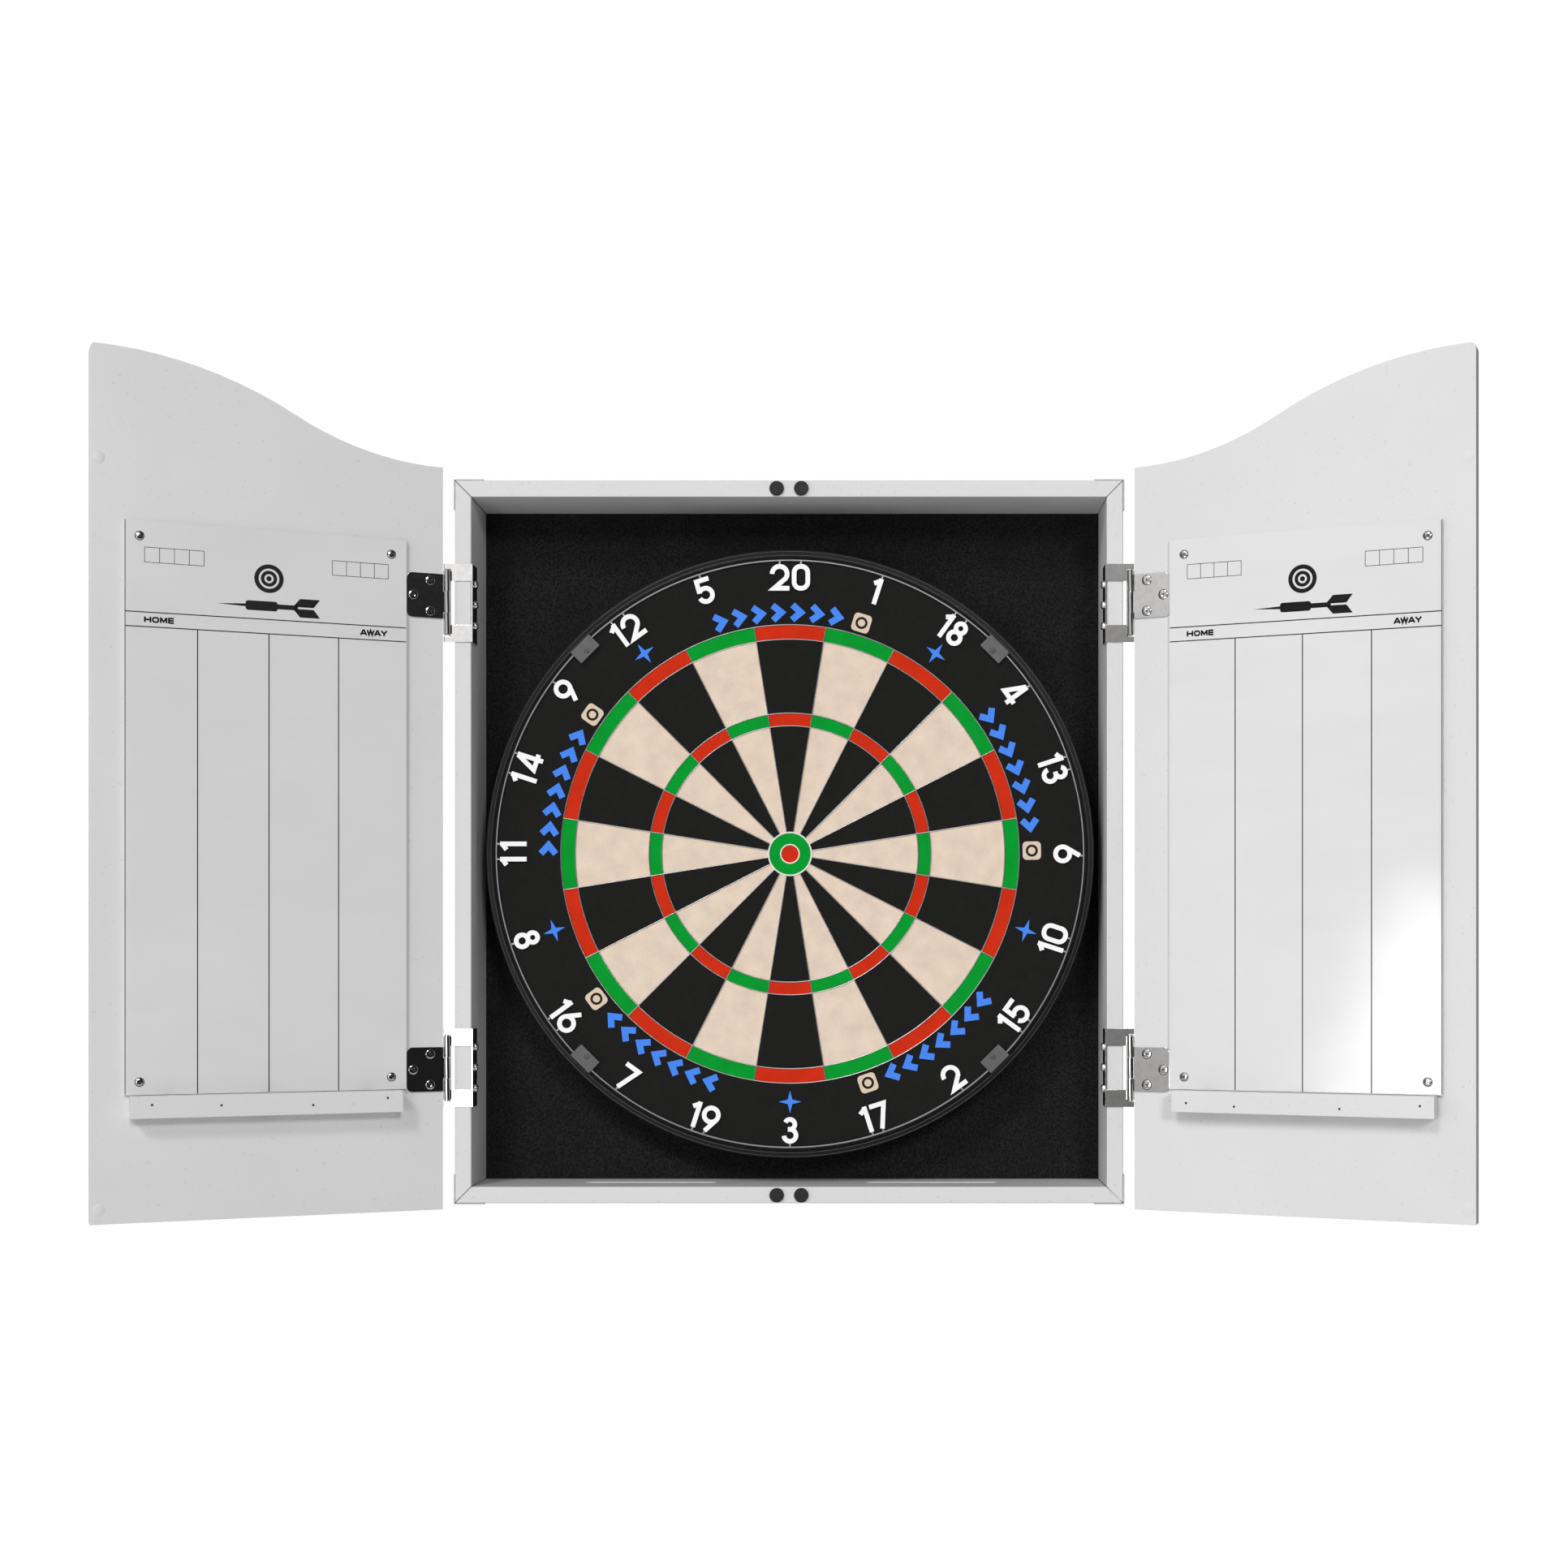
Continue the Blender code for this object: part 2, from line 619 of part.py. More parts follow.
def make_pin(side, side_name, level):
    origin = bpy.data.objects[f"{side_name}_{level}_hinge_place"]
    half = BARREL_LENGTH / 2 + GAP
    end = half + PIN_HEAD_HEIGHT
    profile = [
        (0, -end),
        (PIN_HEAD_RADIUS * 0.75, -end),
        (PIN_HEAD_RADIUS, -half - PIN_HEAD_HEIGHT / 3),
        (PIN_HEAD_RADIUS, -half),
        (PIN_RADIUS, -half),
        (PIN_RADIUS, half),
        (PIN_HEAD_RADIUS, half),
        (PIN_HEAD_RADIUS, half + PIN_HEAD_HEIGHT / 3),
        (PIN_HEAD_RADIUS * 0.75, end),
        (0, end),
    ]
    name = f"{side_name}_{level}_hinge_pin"
    mesh = turned_mesh(name, profile, 12)
    pin = add(name, mesh, NICKEL, origin, smooth=True)
    pin.rotation_euler = (math.pi / 2, 0.0, 0.0)


def make_door_leaf(side, side_name, level, door):
    """The plate on the door's inner face, which turns on the middle knuckle."""
    origin = hinge_origin(f"{side_name}_{level}_leaf_place", side, level, door)
    name = f"{side_name}_{level}_door_leaf"
    near = DOOR_INNER + GAP
    reach = DOOR_EDGE + PLATE_REACH
    shift, root = PLATE_SHIFT[level], KNUCKLE_LENGTH / 2
    low, high = shift - PLATE_HALF, shift + PLATE_HALF
    outline = [(0.0, -root), (DOOR_EDGE, -root), (DOOR_EDGE, low)]
    outline += arc((reach - PLATE_CORNER, low + PLATE_CORNER), PLATE_CORNER, -90, 0, 4)
    outline += arc((reach - PLATE_CORNER, high - PLATE_CORNER), PLATE_CORNER, 0, 90, 4)
    outline += [(DOOR_EDGE, high), (DOOR_EDGE, root), (0.0, root)]
    placed = [(-side * a, b) for a, b in outline]
    leaf = add(name, prism_mesh(name, placed, near, near + LEAF_THICK, along_y), NICKEL, origin)
    boolean(leaf, knuckle("door_knuckle", -root, root, origin), "UNION")
    cut_pin_hole(leaf, origin)
    for u, z in PLATE_SCREWS:
        centre = (-side * (DOOR_EDGE + u), z + shift)
        hole = cylinder_mesh("plate_hole", centre, LEAF_HOLE_RADIUS, -0.001, 0.005, along_y, 8)
        boolean(leaf, helper("plate_hole", hole, origin), "DIFFERENCE")


# ---------------------------------------------------------------- doors


def door_outline():
    """(u, z) of a door: square below, and above an ogee of two arcs that meet in a common tangent."""
    bend = 2 * math.atan(DOOR_RISE / DOOR_WIDTH)
    both_radii = DOOR_WIDTH / math.sin(bend)
    valley = VALLEY_SHARE * both_radii
    crown = both_radii - valley
    top = DOOR_SHOULDER + DOOR_RISE
    turn = math.degrees(bend)
    rising = arc((0.0, DOOR_SHOULDER + valley), valley, -90, turn - 90, ARC_STEPS)
    clip = math.degrees(math.asin(DOOR_CORNER / crown))
    cresting = arc((DOOR_WIDTH, top - crown), crown, 90 + turn, 90 + clip, ARC_STEPS)[1:]
    corner = arc((DOOR_WIDTH - DOOR_CORNER, cresting[-1][1] - DOOR_CORNER), DOOR_CORNER, 90, 0, 4)[1:]
    return [(DOOR_WIDTH, DOOR_BOTTOM), (0.0, DOOR_BOTTOM)] + rising + cresting + corner


def door_place(side):
    """Turns (u, z, depth behind the inner face) into a point in the door's own frame."""
    return lambda u, z, y: (-side * (DOOR_EDGE + u), y, z)


def score_screw_centres():
    return [(u, z) for u in BOARD_SCREW_U for z in BOARD_SCREW_Z]


def make_door_panel(side, side_name, door):
    name = f"{side_name}_door_panel"
    place = door_place(side)
    mesh = prism_mesh(name, door_outline(), DOOR_INNER - DOOR_THICK, DOOR_INNER, place)
    panel = add(name, mesh, WHITE_PAINT, door)
    pilot = DOOR_INNER - BOARD_SCREW_DEPTH - 2 * GAP
    for centre in score_screw_centres():
        cutter = cylinder_mesh("door_pilot", centre, BOARD_SCREW_HOLE, pilot, DOOR_INNER + 0.002, place, 8)
        boolean(panel, helper("door_pilot", cutter, door), "DIFFERENCE")
    ease_edges(panel)


def make_scoreboard(side, side_name, door):
    name = f"{side_name}_scoreboard"
    place = door_place(side)
    near = DOOR_INNER + GAP
    mesh = prism_mesh(name, rectangle(*BOARD_U, *BOARD_Z), near, near + BOARD_THICK, place)
    board = add(name, mesh, SCORE_WHITE, door)
    far = near + BOARD_THICK + 0.002
    for centre in score_screw_centres():
        cutter = cylinder_mesh("score_hole", centre, BOARD_SCREW_HOLE, 0.0, far, place, 8)
        boolean(board, helper("score_hole", cutter, door), "DIFFERENCE")


def make_score_screws(side, side_name, door):
    seat = DOOR_INNER + 2 * GAP + BOARD_THICK
    profile = [
        (0, seat + BOARD_SCREW_DOME),
        (BOARD_SCREW_HEAD * 0.6, seat + BOARD_SCREW_DOME * 0.8),
        (BOARD_SCREW_HEAD, seat),
        (BOARD_SCREW_SHANK, seat),
        (BOARD_SCREW_SHANK, DOOR_INNER - BOARD_SCREW_DEPTH + BOARD_SCREW_SHANK),
        (0, DOOR_INNER - BOARD_SCREW_DEPTH),
    ]
    ends = {BOARD_SCREW_U[0]: "hinge", BOARD_SCREW_U[1]: "outer"}
    levels = {BOARD_SCREW_Z[0]: "upper", BOARD_SCREW_Z[1]: "lower"}
    for u, z in score_screw_centres():
        name = f"{side_name}_score_screw_{levels[z]}_{ends[u]}"
        centre = (-side * (DOOR_EDGE + u), z)
        add(name, turned_mesh(name, profile, 14, centre), ZINC, door, smooth=True)


def make_dart_rail(side, side_name, door):
    name = f"{side_name}_dart_rail"
    near = DOOR_INNER + GAP
    ends = [-side * (DOOR_EDGE + u) for u in RAIL_U]
    rail = add(name, box_mesh(name, ends, (near, near + RAIL_REACH), RAIL_Z), WHITE_PAINT, door)
    for u in RAIL_HOLES_U:
        centre = (-side * (DOOR_EDGE + u), near + RAIL_REACH / 2)
        low, high = RAIL_Z[0] - 0.002, RAIL_Z[1] + 0.002
        cutter = cylinder_mesh("dart_hole", centre, RAIL_HOLE_RADIUS, low, high, along_z, 16)
        boolean(rail, helper("dart_hole", cutter, door), "DIFFERENCE")


def make_door(side, side_name):
    door = bpy.data.objects.new(f"{side_name}_door", None)
    bpy.context.scene.collection.objects.link(door)
    door.location = (side * PIN_X, PIN_Y, 0.0)
    door.rotation_euler = (0.0, 0.0, side * OPEN_ANGLE)
    make_door_panel(side, side_name, door)
    make_scoreboard(side, side_name, door)
    make_score_screws(side, side_name, door)
    make_dart_rail(side, side_name, door)
    for level in HINGE_Z:
        make_frame_leaf(side, side_name, level)
        make_pin(side, side_name, level)
        make_door_leaf(side, side_name, level, door)


# ---------------------------------------------------------------- dart board


def make_sisal(body):
    radius = DART_RADIUS - BAND_THICK - GAP
    back = DART_BACK - BACKING_THICK - GAP
    front = DART_FACE + BAND_LIP_THICK + GAP
    rim = radius - BAND_LIP - GAP
    profile = [(0, DART_FACE), (rim, DART_FACE), (rim, front), (radius, front), (radius, back), (0, back)]
    bore = HANG_SCREW_SHANK + HOLE_ROOM
    sisal = add("sisal_board", turned_mesh("sisal_board", profile, ROUND_STEPS), SISAL, body)
    depth = DART_BACK - HANG_SCREW_DEPTH - 2 * GAP
    hole = cylinder_mesh("sisal_hole", (0.0, 0.0), bore, depth, DART_BACK, along_y)
    boolean(sisal, helper("sisal_hole", hole, body), "DIFFERENCE")
    section = rectangle(bore, radius, DART_BACK - BACKING_THICK, DART_BACK)
    add("backing_disc", ring_mesh("backing_disc", section, ROUND_STEPS), RAW_BOARD, body)


def make_band(body):
    """The steel band round the board, turned in over its front edge."""
    outer, inner = DART_RADIUS, DART_RADIUS - BAND_THICK
    lip = inner - BAND_LIP
    profile = [
        (outer, DART_BACK),
        (outer, DART_FACE),
        (lip, DART_FACE),
        (lip, DART_FACE + BAND_LIP_THICK),
        (inner, DART_FACE + BAND_LIP_THICK),
        (inner, DART_BACK),
    ]
    add("steel_band", ring_mesh("steel_band", profile, ROUND_STEPS), BAND_BLACK, body, smooth=True)


def wire_angles(radius, steps):
    """Angles round one edge of a wire ring: both sides of each radial wire, and the steps between."""
    half = math.asin(WIRE_WIDTH / 2 / radius)
    pitch = 2 * math.pi / SECTORS
    angles = []
    for k in range(SECTORS):
        first = pitch * (k + 0.5) - half
        last = pitch * (k + 0.5) + half
        span = pitch - 2 * half
        angles.append([first] + [last + span * i / steps for i in range(steps)])
    return angles


def make_spider(body):
    """The wires that part the scoring beds: rings joined by radial wires, as one lattice."""
    bm = bmesh.new()
    near = DART_FACE - GAP
    edges = []
    for centre, steps in WIRE_RINGS:
        loops = []
        for radius in (centre + WIRE_WIDTH / 2, centre - WIRE_WIDTH / 2):
            sectors = []
            for angles in wire_angles(radius, steps):
                points = [(radius * math.cos(t), near, radius * math.sin(t)) for t in angles]
                sectors.append([bm.verts.new(point) for point in points])
            loops.append(sectors)
        outer, inner = ([v for sector in loop for v in sector] for loop in loops)
        for i in range(len(outer)):
            j = (i + 1) % len(outer)
            bm.faces.new([outer[i], outer[j], inner[j], inner[i]])
        edges.append(loops)
    for (_, inner_edge), (outer_edge, _) in zip(edges, edges[1:]):
        for far, close in zip(inner_edge, outer_edge):
            bm.faces.new([far[0], far[1], close[1], close[0]])
    extrude_faces(bm, list(bm.faces), (0.0, -WIRE_HEIGHT, 0.0))
    add("wire_spider", finish_mesh(bm, "wire_spider"), WIRE_STEEL, body)
    section = rectangle(*BULL_RING, near - WIRE_HEIGHT, near)
    add("bull_ring", ring_mesh("bull_ring", section, 24), WIRE_STEEL, body, smooth=True)


def digit_strokes(digit):
    """Centrelines of one digit's strokes in millimetres from its lower left corner: (points, closed)."""
    height = DIGIT_HEIGHT * 1000
    half = STROKE * 500
    width = DIGIT_WIDTHS[digit]
    top, low, right = height - half, half, width - half

    def bend(centre, radius, start, end):
        steps = max(2, round(abs(math.radians(end - start)) / DIGIT_ARC))
        return arc(centre, radius, start, end, steps)

    def round_loop(centre, radius):
        return circle(centre, radius, round(2 * math.pi / DIGIT_ARC))

    if digit == 0:
        return [(rounded_rectangle(half, right, low, top, 4.6, 2), True)]
    if digit == 1:
        return [([(right, 0), (right, height)], False), ([(right, 18.0), (0.9, 14.9)], False)]
    if digit == 2:
        bowl = width / 2 - half
        return [(bend((width / 2, top - bowl), bowl, 180, -38) + [(3.2, low), (width, low)], False)]
    if digit == 3:
        upper = bend((6.1, 14.25), 3.65, 155, -90) + [(4.6, 10.6)]
        lower = [(4.6, 10.6)] + bend((6.15, 6.15), 4.45, 90, -175)
        return [(upper, False), (lower, False)]
    if digit == 4:
        return [([(10.3, 19.2), (2.9, 4.6), (width, 4.6)], False), ([(10.9, 0), (10.9, height)], False)]
    if digit == 5:
        bowl = width / 2 - half
        flag = [(12.3, top), (2.9, top), (2.6, 9.0)]
        return [(flag, False), (bend((width / 2, low + bowl), bowl, 145, -165), False)]
    if digit == 7:
        return [([(0, top), (11.2, top), (4.6, 0)], False)]
    if digit == 8:
        return [(round_loop((width / 2, 14.3), 3.6), True), (round_loop((width / 2, 6.1), 4.4), True)]
    bowl = width / 2 - half
    centre = width / 2
    touch = (centre - bowl * math.cos(math.radians(30)), centre + bowl * math.sin(math.radians(30)))
    run = (height - touch[1]) / math.cos(math.radians(30))
    tail = [touch, (touch[0] + run * math.sin(math.radians(30)), height)]
    six = [(round_loop((centre, centre), bowl), True), (tail, False)]
    if digit == 6:
        return six
    return [([(width - a, height - b) for a, b in points], closed) for points, closed in six]


def ribbon_sides(points, closed, half):
    """The two edges of a strip of even width along a centreline, mitred at its corners."""
    count = len(points)
    left, right = [], []
    for i, (a, b) in enumerate(points):
        before = points[i - 1] if i or closed else None
        after = points[(i + 1) % count] if i < count - 1 or closed else None
        normals = []
        for (a0, b0), (a1, b1) in ((before or (a, b), (a, b)), ((a, b), after or (a, b))):
            length = math.hypot(a1 - a0, b1 - b0)
            if length:
                normals.append(((b0 - b1) / length, (a1 - a0) / length))
        na = sum(n[0] for n in normals)
        nb = sum(n[1] for n in normals)
        scale = half * len(normals) / (na * na + nb * nb)
        left.append((a + na * scale, b + nb * scale))
        right.append((a - na * scale, b - nb * scale))
    return left, right


def add_ribbon(bm, points, closed, half, near, far, place):
    """One flat strip as a closed solid."""
    left, right = ribbon_sides(points, closed, half)
    if not closed:
        add_prism(bm, left + list(reversed(right)), near, far, place)
        return
    rings = []
    for edge, y in ((left, near), (right, near), (right, far), (left, far)):
        rings.append([bm.verts.new(place(a, b, y)) for a, b in edge])
    for k in range(4):
        first, second = rings[k], rings[(k + 1) % 4]
        for i in range(len(left)):
            j = (i + 1) % len(left)
            bm.faces.new([first[i], first[j], second[j], second[i]])


def number_layout(number):
    """Each digit of a number with the x of its left side, in metres, the whole number centred."""
    text = str(number)
    gap = WIDE_GAPS.get(text, DIGIT_GAP)
    widths = [DIGIT_WIDTHS[int(c)] / 1000 for c in text]
    total = sum(widths) + gap * (len(text) - 1)
    places, x = [], -total / 2
    for c, width in zip(text, widths):
        places.append((int(c), x, width))
        x += width + gap
    return places


def tie_offset(digit, inverted):
    """Where along a digit's outer edge its tie to the ring stands, in millimetres from its left side."""
    upright = {1: 5.2, 4: 10.9, 6: 8.2, 7: 6.6}
    flipped = {1: 5.2, 2: 8.0, 6: 6.9, 7: 4.8, 9: 5.6}
    return (flipped if inverted else upright).get(digit, DIGIT_WIDTHS[digit] / 2)


def make_number_ring(body):
    """The wire ring with its numbers, which read upright all the way round."""
    mid = DART_FACE - GAP - RING_WIRE
    section = circle((RING_RADIUS, mid), RING_WIRE, 6, math.pi / 6)
    ring = add("number_ring", ring_mesh("number_ring", section, ROUND_STEPS), NUMBER_WHITE, body)
    near, far = mid - DIGIT_THICK / 2, mid + DIGIT_THICK / 2
    bm = bmesh.new()
    for index, number in enumerate(NUMBERS):
        turn = 2 * math.pi * index / SECTORS
        inverted = FIRST_INVERTED <= index <= LAST_INVERTED
        flip = -1 if inverted else 1
        base = DIGIT_TOP if inverted else DIGIT_TOP - DIGIT_HEIGHT

        def place(a, b, y, turn=turn, flip=flip, base=base):
            x, r = a * flip, base + b * flip
            return (x * math.cos(turn) + r * math.sin(turn), y, r * math.cos(turn) - x * math.sin(turn))

        for digit, left, _ in number_layout(number):
            for points, closed in digit_strokes(digit):
                placed = [(left + a / 1000, b / 1000) for a, b in points]
                add_ribbon(bm, placed, closed, STROKE / 2, near, far, place)
            x = (left + tie_offset(digit, inverted) / 1000) * flip
            wire = math.sqrt(RING_RADIUS**2 - x**2)
            tie = rectangle(x - TIE_WIDTH / 2, x + TIE_WIDTH / 2, DIGIT_TOP - STROKE / 2, wire)

            def place_tie(a, b, y, turn=turn):
                return (a * math.cos(turn) + b * math.sin(turn), y, b * math.cos(turn) - a * math.sin(turn))

            add_prism(bm, tie, mid - TIE_THICK / 2, mid + TIE_THICK / 2, place_tie)
    boolean(ring, helper("digit_shapes", finish_mesh(bm, "digit_shapes"), body), "UNION", with_self=True)


def make_clips(body):
    """Four clips that bridge the ring's wire and press it on the board."""
    low = DART_FACE - GAP
    high = DART_FACE - CLIP_HEIGHT
    roof = high + CLIP_ROOF
    outline = [
        (CLIP_INNER, low),
        (CLIP_INNER, high),
        (CLIP_OUTER, high),
        (CLIP_OUTER, low),
        (RING_RADIUS + CLIP_GROOVE, low),
        (RING_RADIUS + CLIP_GROOVE, roof),
        (RING_RADIUS - CLIP_GROOVE, roof),
        (RING_RADIUS - CLIP_GROOVE, low),
    ]
    names = ("upper_right", "lower_right", "lower_left", "upper_left")
    for index, place_name in enumerate(names):
        name = f"ring_clip_{place_name}"
        mesh = prism_mesh(name, outline, -CLIP_WIDTH / 2, CLIP_WIDTH / 2, lambda r, y, x: (x, y, r))
        clip = add(name, mesh, CLIP_GREY, body)
        clip.rotation_euler = (0.0, math.radians(45 + 90 * index), 0.0)


def make_pads(body):
    near, far = LINING_Y - GAP, DART_BACK + GAP
    for side, angle in zip(("top", "left", "right"), map(math.radians, PAD_ANGLES)):
        centre = (PAD_PLACE * math.cos(angle), PAD_PLACE * math.sin(angle))
        name = f"rubber_foot_{side}"
        mesh = cylinder_mesh(name, centre, PAD_RADIUS, near, far, along_y, 20)
        add(name, mesh, RUBBER, body, smooth=True)


def make_hanging_screw(body):
    near, far = HANG_HEAD_Y
    tip = DART_BACK - HANG_SCREW_DEPTH
    profile = [
        (0, far),
        (HANG_SCREW_HEAD * 0.8, far),
        (HANG_SCREW_HEAD, far - 0.0006),
        (HANG_SCREW_HEAD, near),
        (HANG_SCREW_SHANK, near),
        (HANG_SCREW_SHANK, tip + HANG_SCREW_SHANK),
        (0, tip),
    ]
    add("hanging_screw", turned_mesh("hanging_screw", profile, 20), ZINC, body, smooth=True)


def make_dart_board():
    board = bpy.data.objects.new("dart_board", None)
    bpy.context.scene.collection.objects.link(board)
    board.location = (0.0, 0.0, DART_Z)
    make_sisal(board)
    make_band(board)
    make_spider(board)
    make_number_ring(board)
    make_clips(board)
    make_pads(board)
    make_hanging_screw(board)


def main():
    clear_scene()
    case = bpy.data.objects.new("case", None)
    bpy.context.scene.collection.objects.link(case)
    make_case_walls(case)
    make_back(case)
    make_braces(case)
    make_magnets(case)
    make_bracket(case)
    make_bracket_screws(case)
    make_door(-1, "left")
    make_door(1, "right")
    make_dart_board()


main()
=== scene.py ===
"""The looks of the dart board cabinet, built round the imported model.

Metres, in the model's own frame: X to the right, Y into the wall and Z up. Flat work is drawn in a
face's frame, where x runs right, y up and z out of the face towards the viewer.
"""

import json
import math

import bmesh
import bpy
from mathutils import Matrix, Quaternion, Vector


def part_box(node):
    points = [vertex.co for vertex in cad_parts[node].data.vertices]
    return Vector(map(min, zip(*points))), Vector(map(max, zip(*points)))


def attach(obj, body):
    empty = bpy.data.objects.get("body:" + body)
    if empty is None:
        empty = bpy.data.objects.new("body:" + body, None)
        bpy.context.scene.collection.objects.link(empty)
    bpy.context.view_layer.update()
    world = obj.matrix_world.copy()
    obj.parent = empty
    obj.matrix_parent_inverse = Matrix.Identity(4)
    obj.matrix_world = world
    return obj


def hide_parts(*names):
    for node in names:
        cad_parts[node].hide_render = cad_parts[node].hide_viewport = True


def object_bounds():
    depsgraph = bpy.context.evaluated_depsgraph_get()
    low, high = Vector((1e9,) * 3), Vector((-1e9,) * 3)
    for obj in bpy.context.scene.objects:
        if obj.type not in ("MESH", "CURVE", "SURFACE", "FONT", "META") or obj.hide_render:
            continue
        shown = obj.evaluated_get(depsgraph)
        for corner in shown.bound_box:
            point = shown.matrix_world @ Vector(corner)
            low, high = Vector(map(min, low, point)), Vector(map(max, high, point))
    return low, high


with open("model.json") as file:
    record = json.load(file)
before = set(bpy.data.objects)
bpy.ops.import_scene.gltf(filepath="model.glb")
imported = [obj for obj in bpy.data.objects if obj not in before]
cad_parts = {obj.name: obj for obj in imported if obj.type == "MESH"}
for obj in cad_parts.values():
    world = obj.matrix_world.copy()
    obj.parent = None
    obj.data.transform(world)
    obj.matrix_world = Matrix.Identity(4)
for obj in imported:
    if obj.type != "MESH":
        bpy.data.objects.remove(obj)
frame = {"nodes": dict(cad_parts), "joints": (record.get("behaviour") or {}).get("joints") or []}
cad_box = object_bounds()

SIDES = ("left", "right")
LEVELS = ("upper", "lower")
JOINTS = {joint["name"]: joint for joint in frame["joints"]}

# Camera: level, square to the wall, framed by shift alone
CAMERA_PLACE = (0.0653, -1.6666, -0.0903)
CAMERA_LENS = 50.0
CAMERA_SHIFT = (-0.0600, 0.1154)

# Board: radii of the scoring beds' edges and of the rings round the bull
DOUBLE = (0.1592, 0.1700)
TREBLE = (0.0950, 0.1045)
OUTER_BULL = 0.0159
INNER_BULL = 0.0067
SECTORS = 20
SECTOR_STEPS = 9
NUMBERS = (20, 1, 18, 4, 13, 6, 10, 15, 2, 17, 3, 19, 7, 16, 8, 11, 14, 9, 12, 5)
# Places in NUMBERS, clockwise, between which the digits stand with their feet outwards
FIRST_INVERTED = 6
LAST_INVERTED = 14

# Sizes shared with the model
GAP = 0.0003
LEAF_THICK = 0.0009
PLATE_SCREWS = ((0.0095, 0.0112), (0.0095, -0.0112), (0.0219, 0.0))
LEG_SCREW_DEPTH = 0.0095
LEG_SCREW_Z = (0.0150, 0.0, -0.0155)
BAND_THICK = 0.0008
BAND_LIP = 0.0045
BED_STEP = 0.0011
CLIP_RADIUS = 0.2126

# Number ring, sized as in the model. The widths of the ten digits are in millimetres.
RING_RADIUS = 0.2176
RING_WIRE = 0.00075
DIGIT_TOP = 0.2147
DIGIT_HEIGHT = 0.0196
STROKE = 0.0034
DIGIT_THICK = 0.0015
TIE_WIDTH = 0.0012
DIGIT_GAP = 0.0018
WIDE_GAPS = {"11": 0.0044, "14": 0.0028}
DIGIT_WIDTHS = (13.5, 6.9, 14.5, 12.3, 14.8, 13.3, 13.9, 13.3, 12.5, 13.9)
DIGIT_ARC = math.radians(9)
TIE_THICK = 0.0009
TIE_OVERLAP = 0.0010

# Half width and height of the wires set in the sisal
SPIDER_WIRE = (0.00048, 0.00085)
OUTER_BULL_WIRE = (0.00065, 0.0011)
INNER_BULL_WIRE = (0.00058, 0.0011)

# Marks printed on the board: angles in degrees from the top of each fifth of the circle
FIFTHS = 5
CHEVRONS = 7
CHEVRON_START = -16.6
CHEVRON_STEP = 4.62
CHEVRON = ((-0.0042, 0.1737), (0.0022, 0.1792), (-0.0042, 0.1847))
CHEVRON_HALF = 0.0024
BADGE_ANGLE = 17.2
BADGE_RADIUS = 0.1793
STAR_ANGLE = 36.0
STAR_RADIUS = 0.1838
STAR_REACH = (0.0085, 0.0024)

# Printing on the scoreboards, with a painted shadow line along each sheet's outer edge: drops from the
# sheet's top edge and half widths of the lines
HEADER_DROP = 0.0636
COLUMNS_DROP = 0.0737
EMBLEM_DROP = 0.0347
TALLY_DROPS = (0.0290, 0.0186)
TALLY_INSET = 0.0132
TALLY_CELL = 0.0099
TALLY_CELLS = 4
HOME_INSET = 0.0130
AWAY_INSET = 0.0145
RULE_HALF = 0.00036
EDGE_SHADE_HALF = 0.00024
TALLY_HALF = 0.00019
LINE_INSET = 0.0003
EDGE_SHADE_INSET = 0.0004
EDGE_SHADE_STOP = 0.0006
LETTER_HALF = 0.00060
LETTER_HEIGHT = 0.0039
PRINT_SINK = 0.0001
PRINT_RISE = 0.00006

# Roundness of turned work, and the angles in degrees above which an edge stays sharp
RING_STEPS = 240
SHARP_ANGLE = 35.0
CAD_SHARP_ANGLE = 30.0

# Sky: brightness at places from left to right, for soft light and for what metal mirrors
SOFT_STOPS = ((0.0, 1.0), (0.17, 1.0), (0.28, 0.36), (0.50, 0.20), (0.62, 0.08), (1.0, 0.04))
MIRROR_STOPS = (
    (0.0, 0.05),
    (0.10, 0.08),
    (0.15, 0.50),
    (0.21, 0.55),
    (0.26, 0.22),
    (0.33, 0.22),
    (0.37, 0.78),
    (0.43, 0.78),
    (0.48, 0.40),
    (0.56, 0.24),
    (0.62, 0.06),
    (0.785, 0.015),
    (0.93, 0.02),
    (1.0, 0.30),
)

# Floor: its drop below the cabinet, its thickness and its corners
FLOOR_DROP = 0.70
FLOOR_THICK = 0.02
FLOOR_OUTLINE = ((-2.4, -2.4), (2.4, -2.4), (2.4, 1.2), (-2.4, 1.2))

# Linear colours
WHITE = (0.67, 0.67, 0.67)
SCORE_WHITE = (0.70, 0.70, 0.70)
FELT_BLACK = (0.015, 0.015, 0.0155)
SISAL_BLACK = (0.0115, 0.0115, 0.0110)
SISAL_CREAM = (0.77, 0.63, 0.51)
SISAL_RED = (0.61, 0.027, 0.006)
SISAL_GREEN = (0.0006, 0.315, 0.028)
PRINT_BLUE = (0.060, 0.235, 0.86)
PRINT_BEIGE = (0.70, 0.57, 0.43)


# ---------------------------------------------------------------- materials


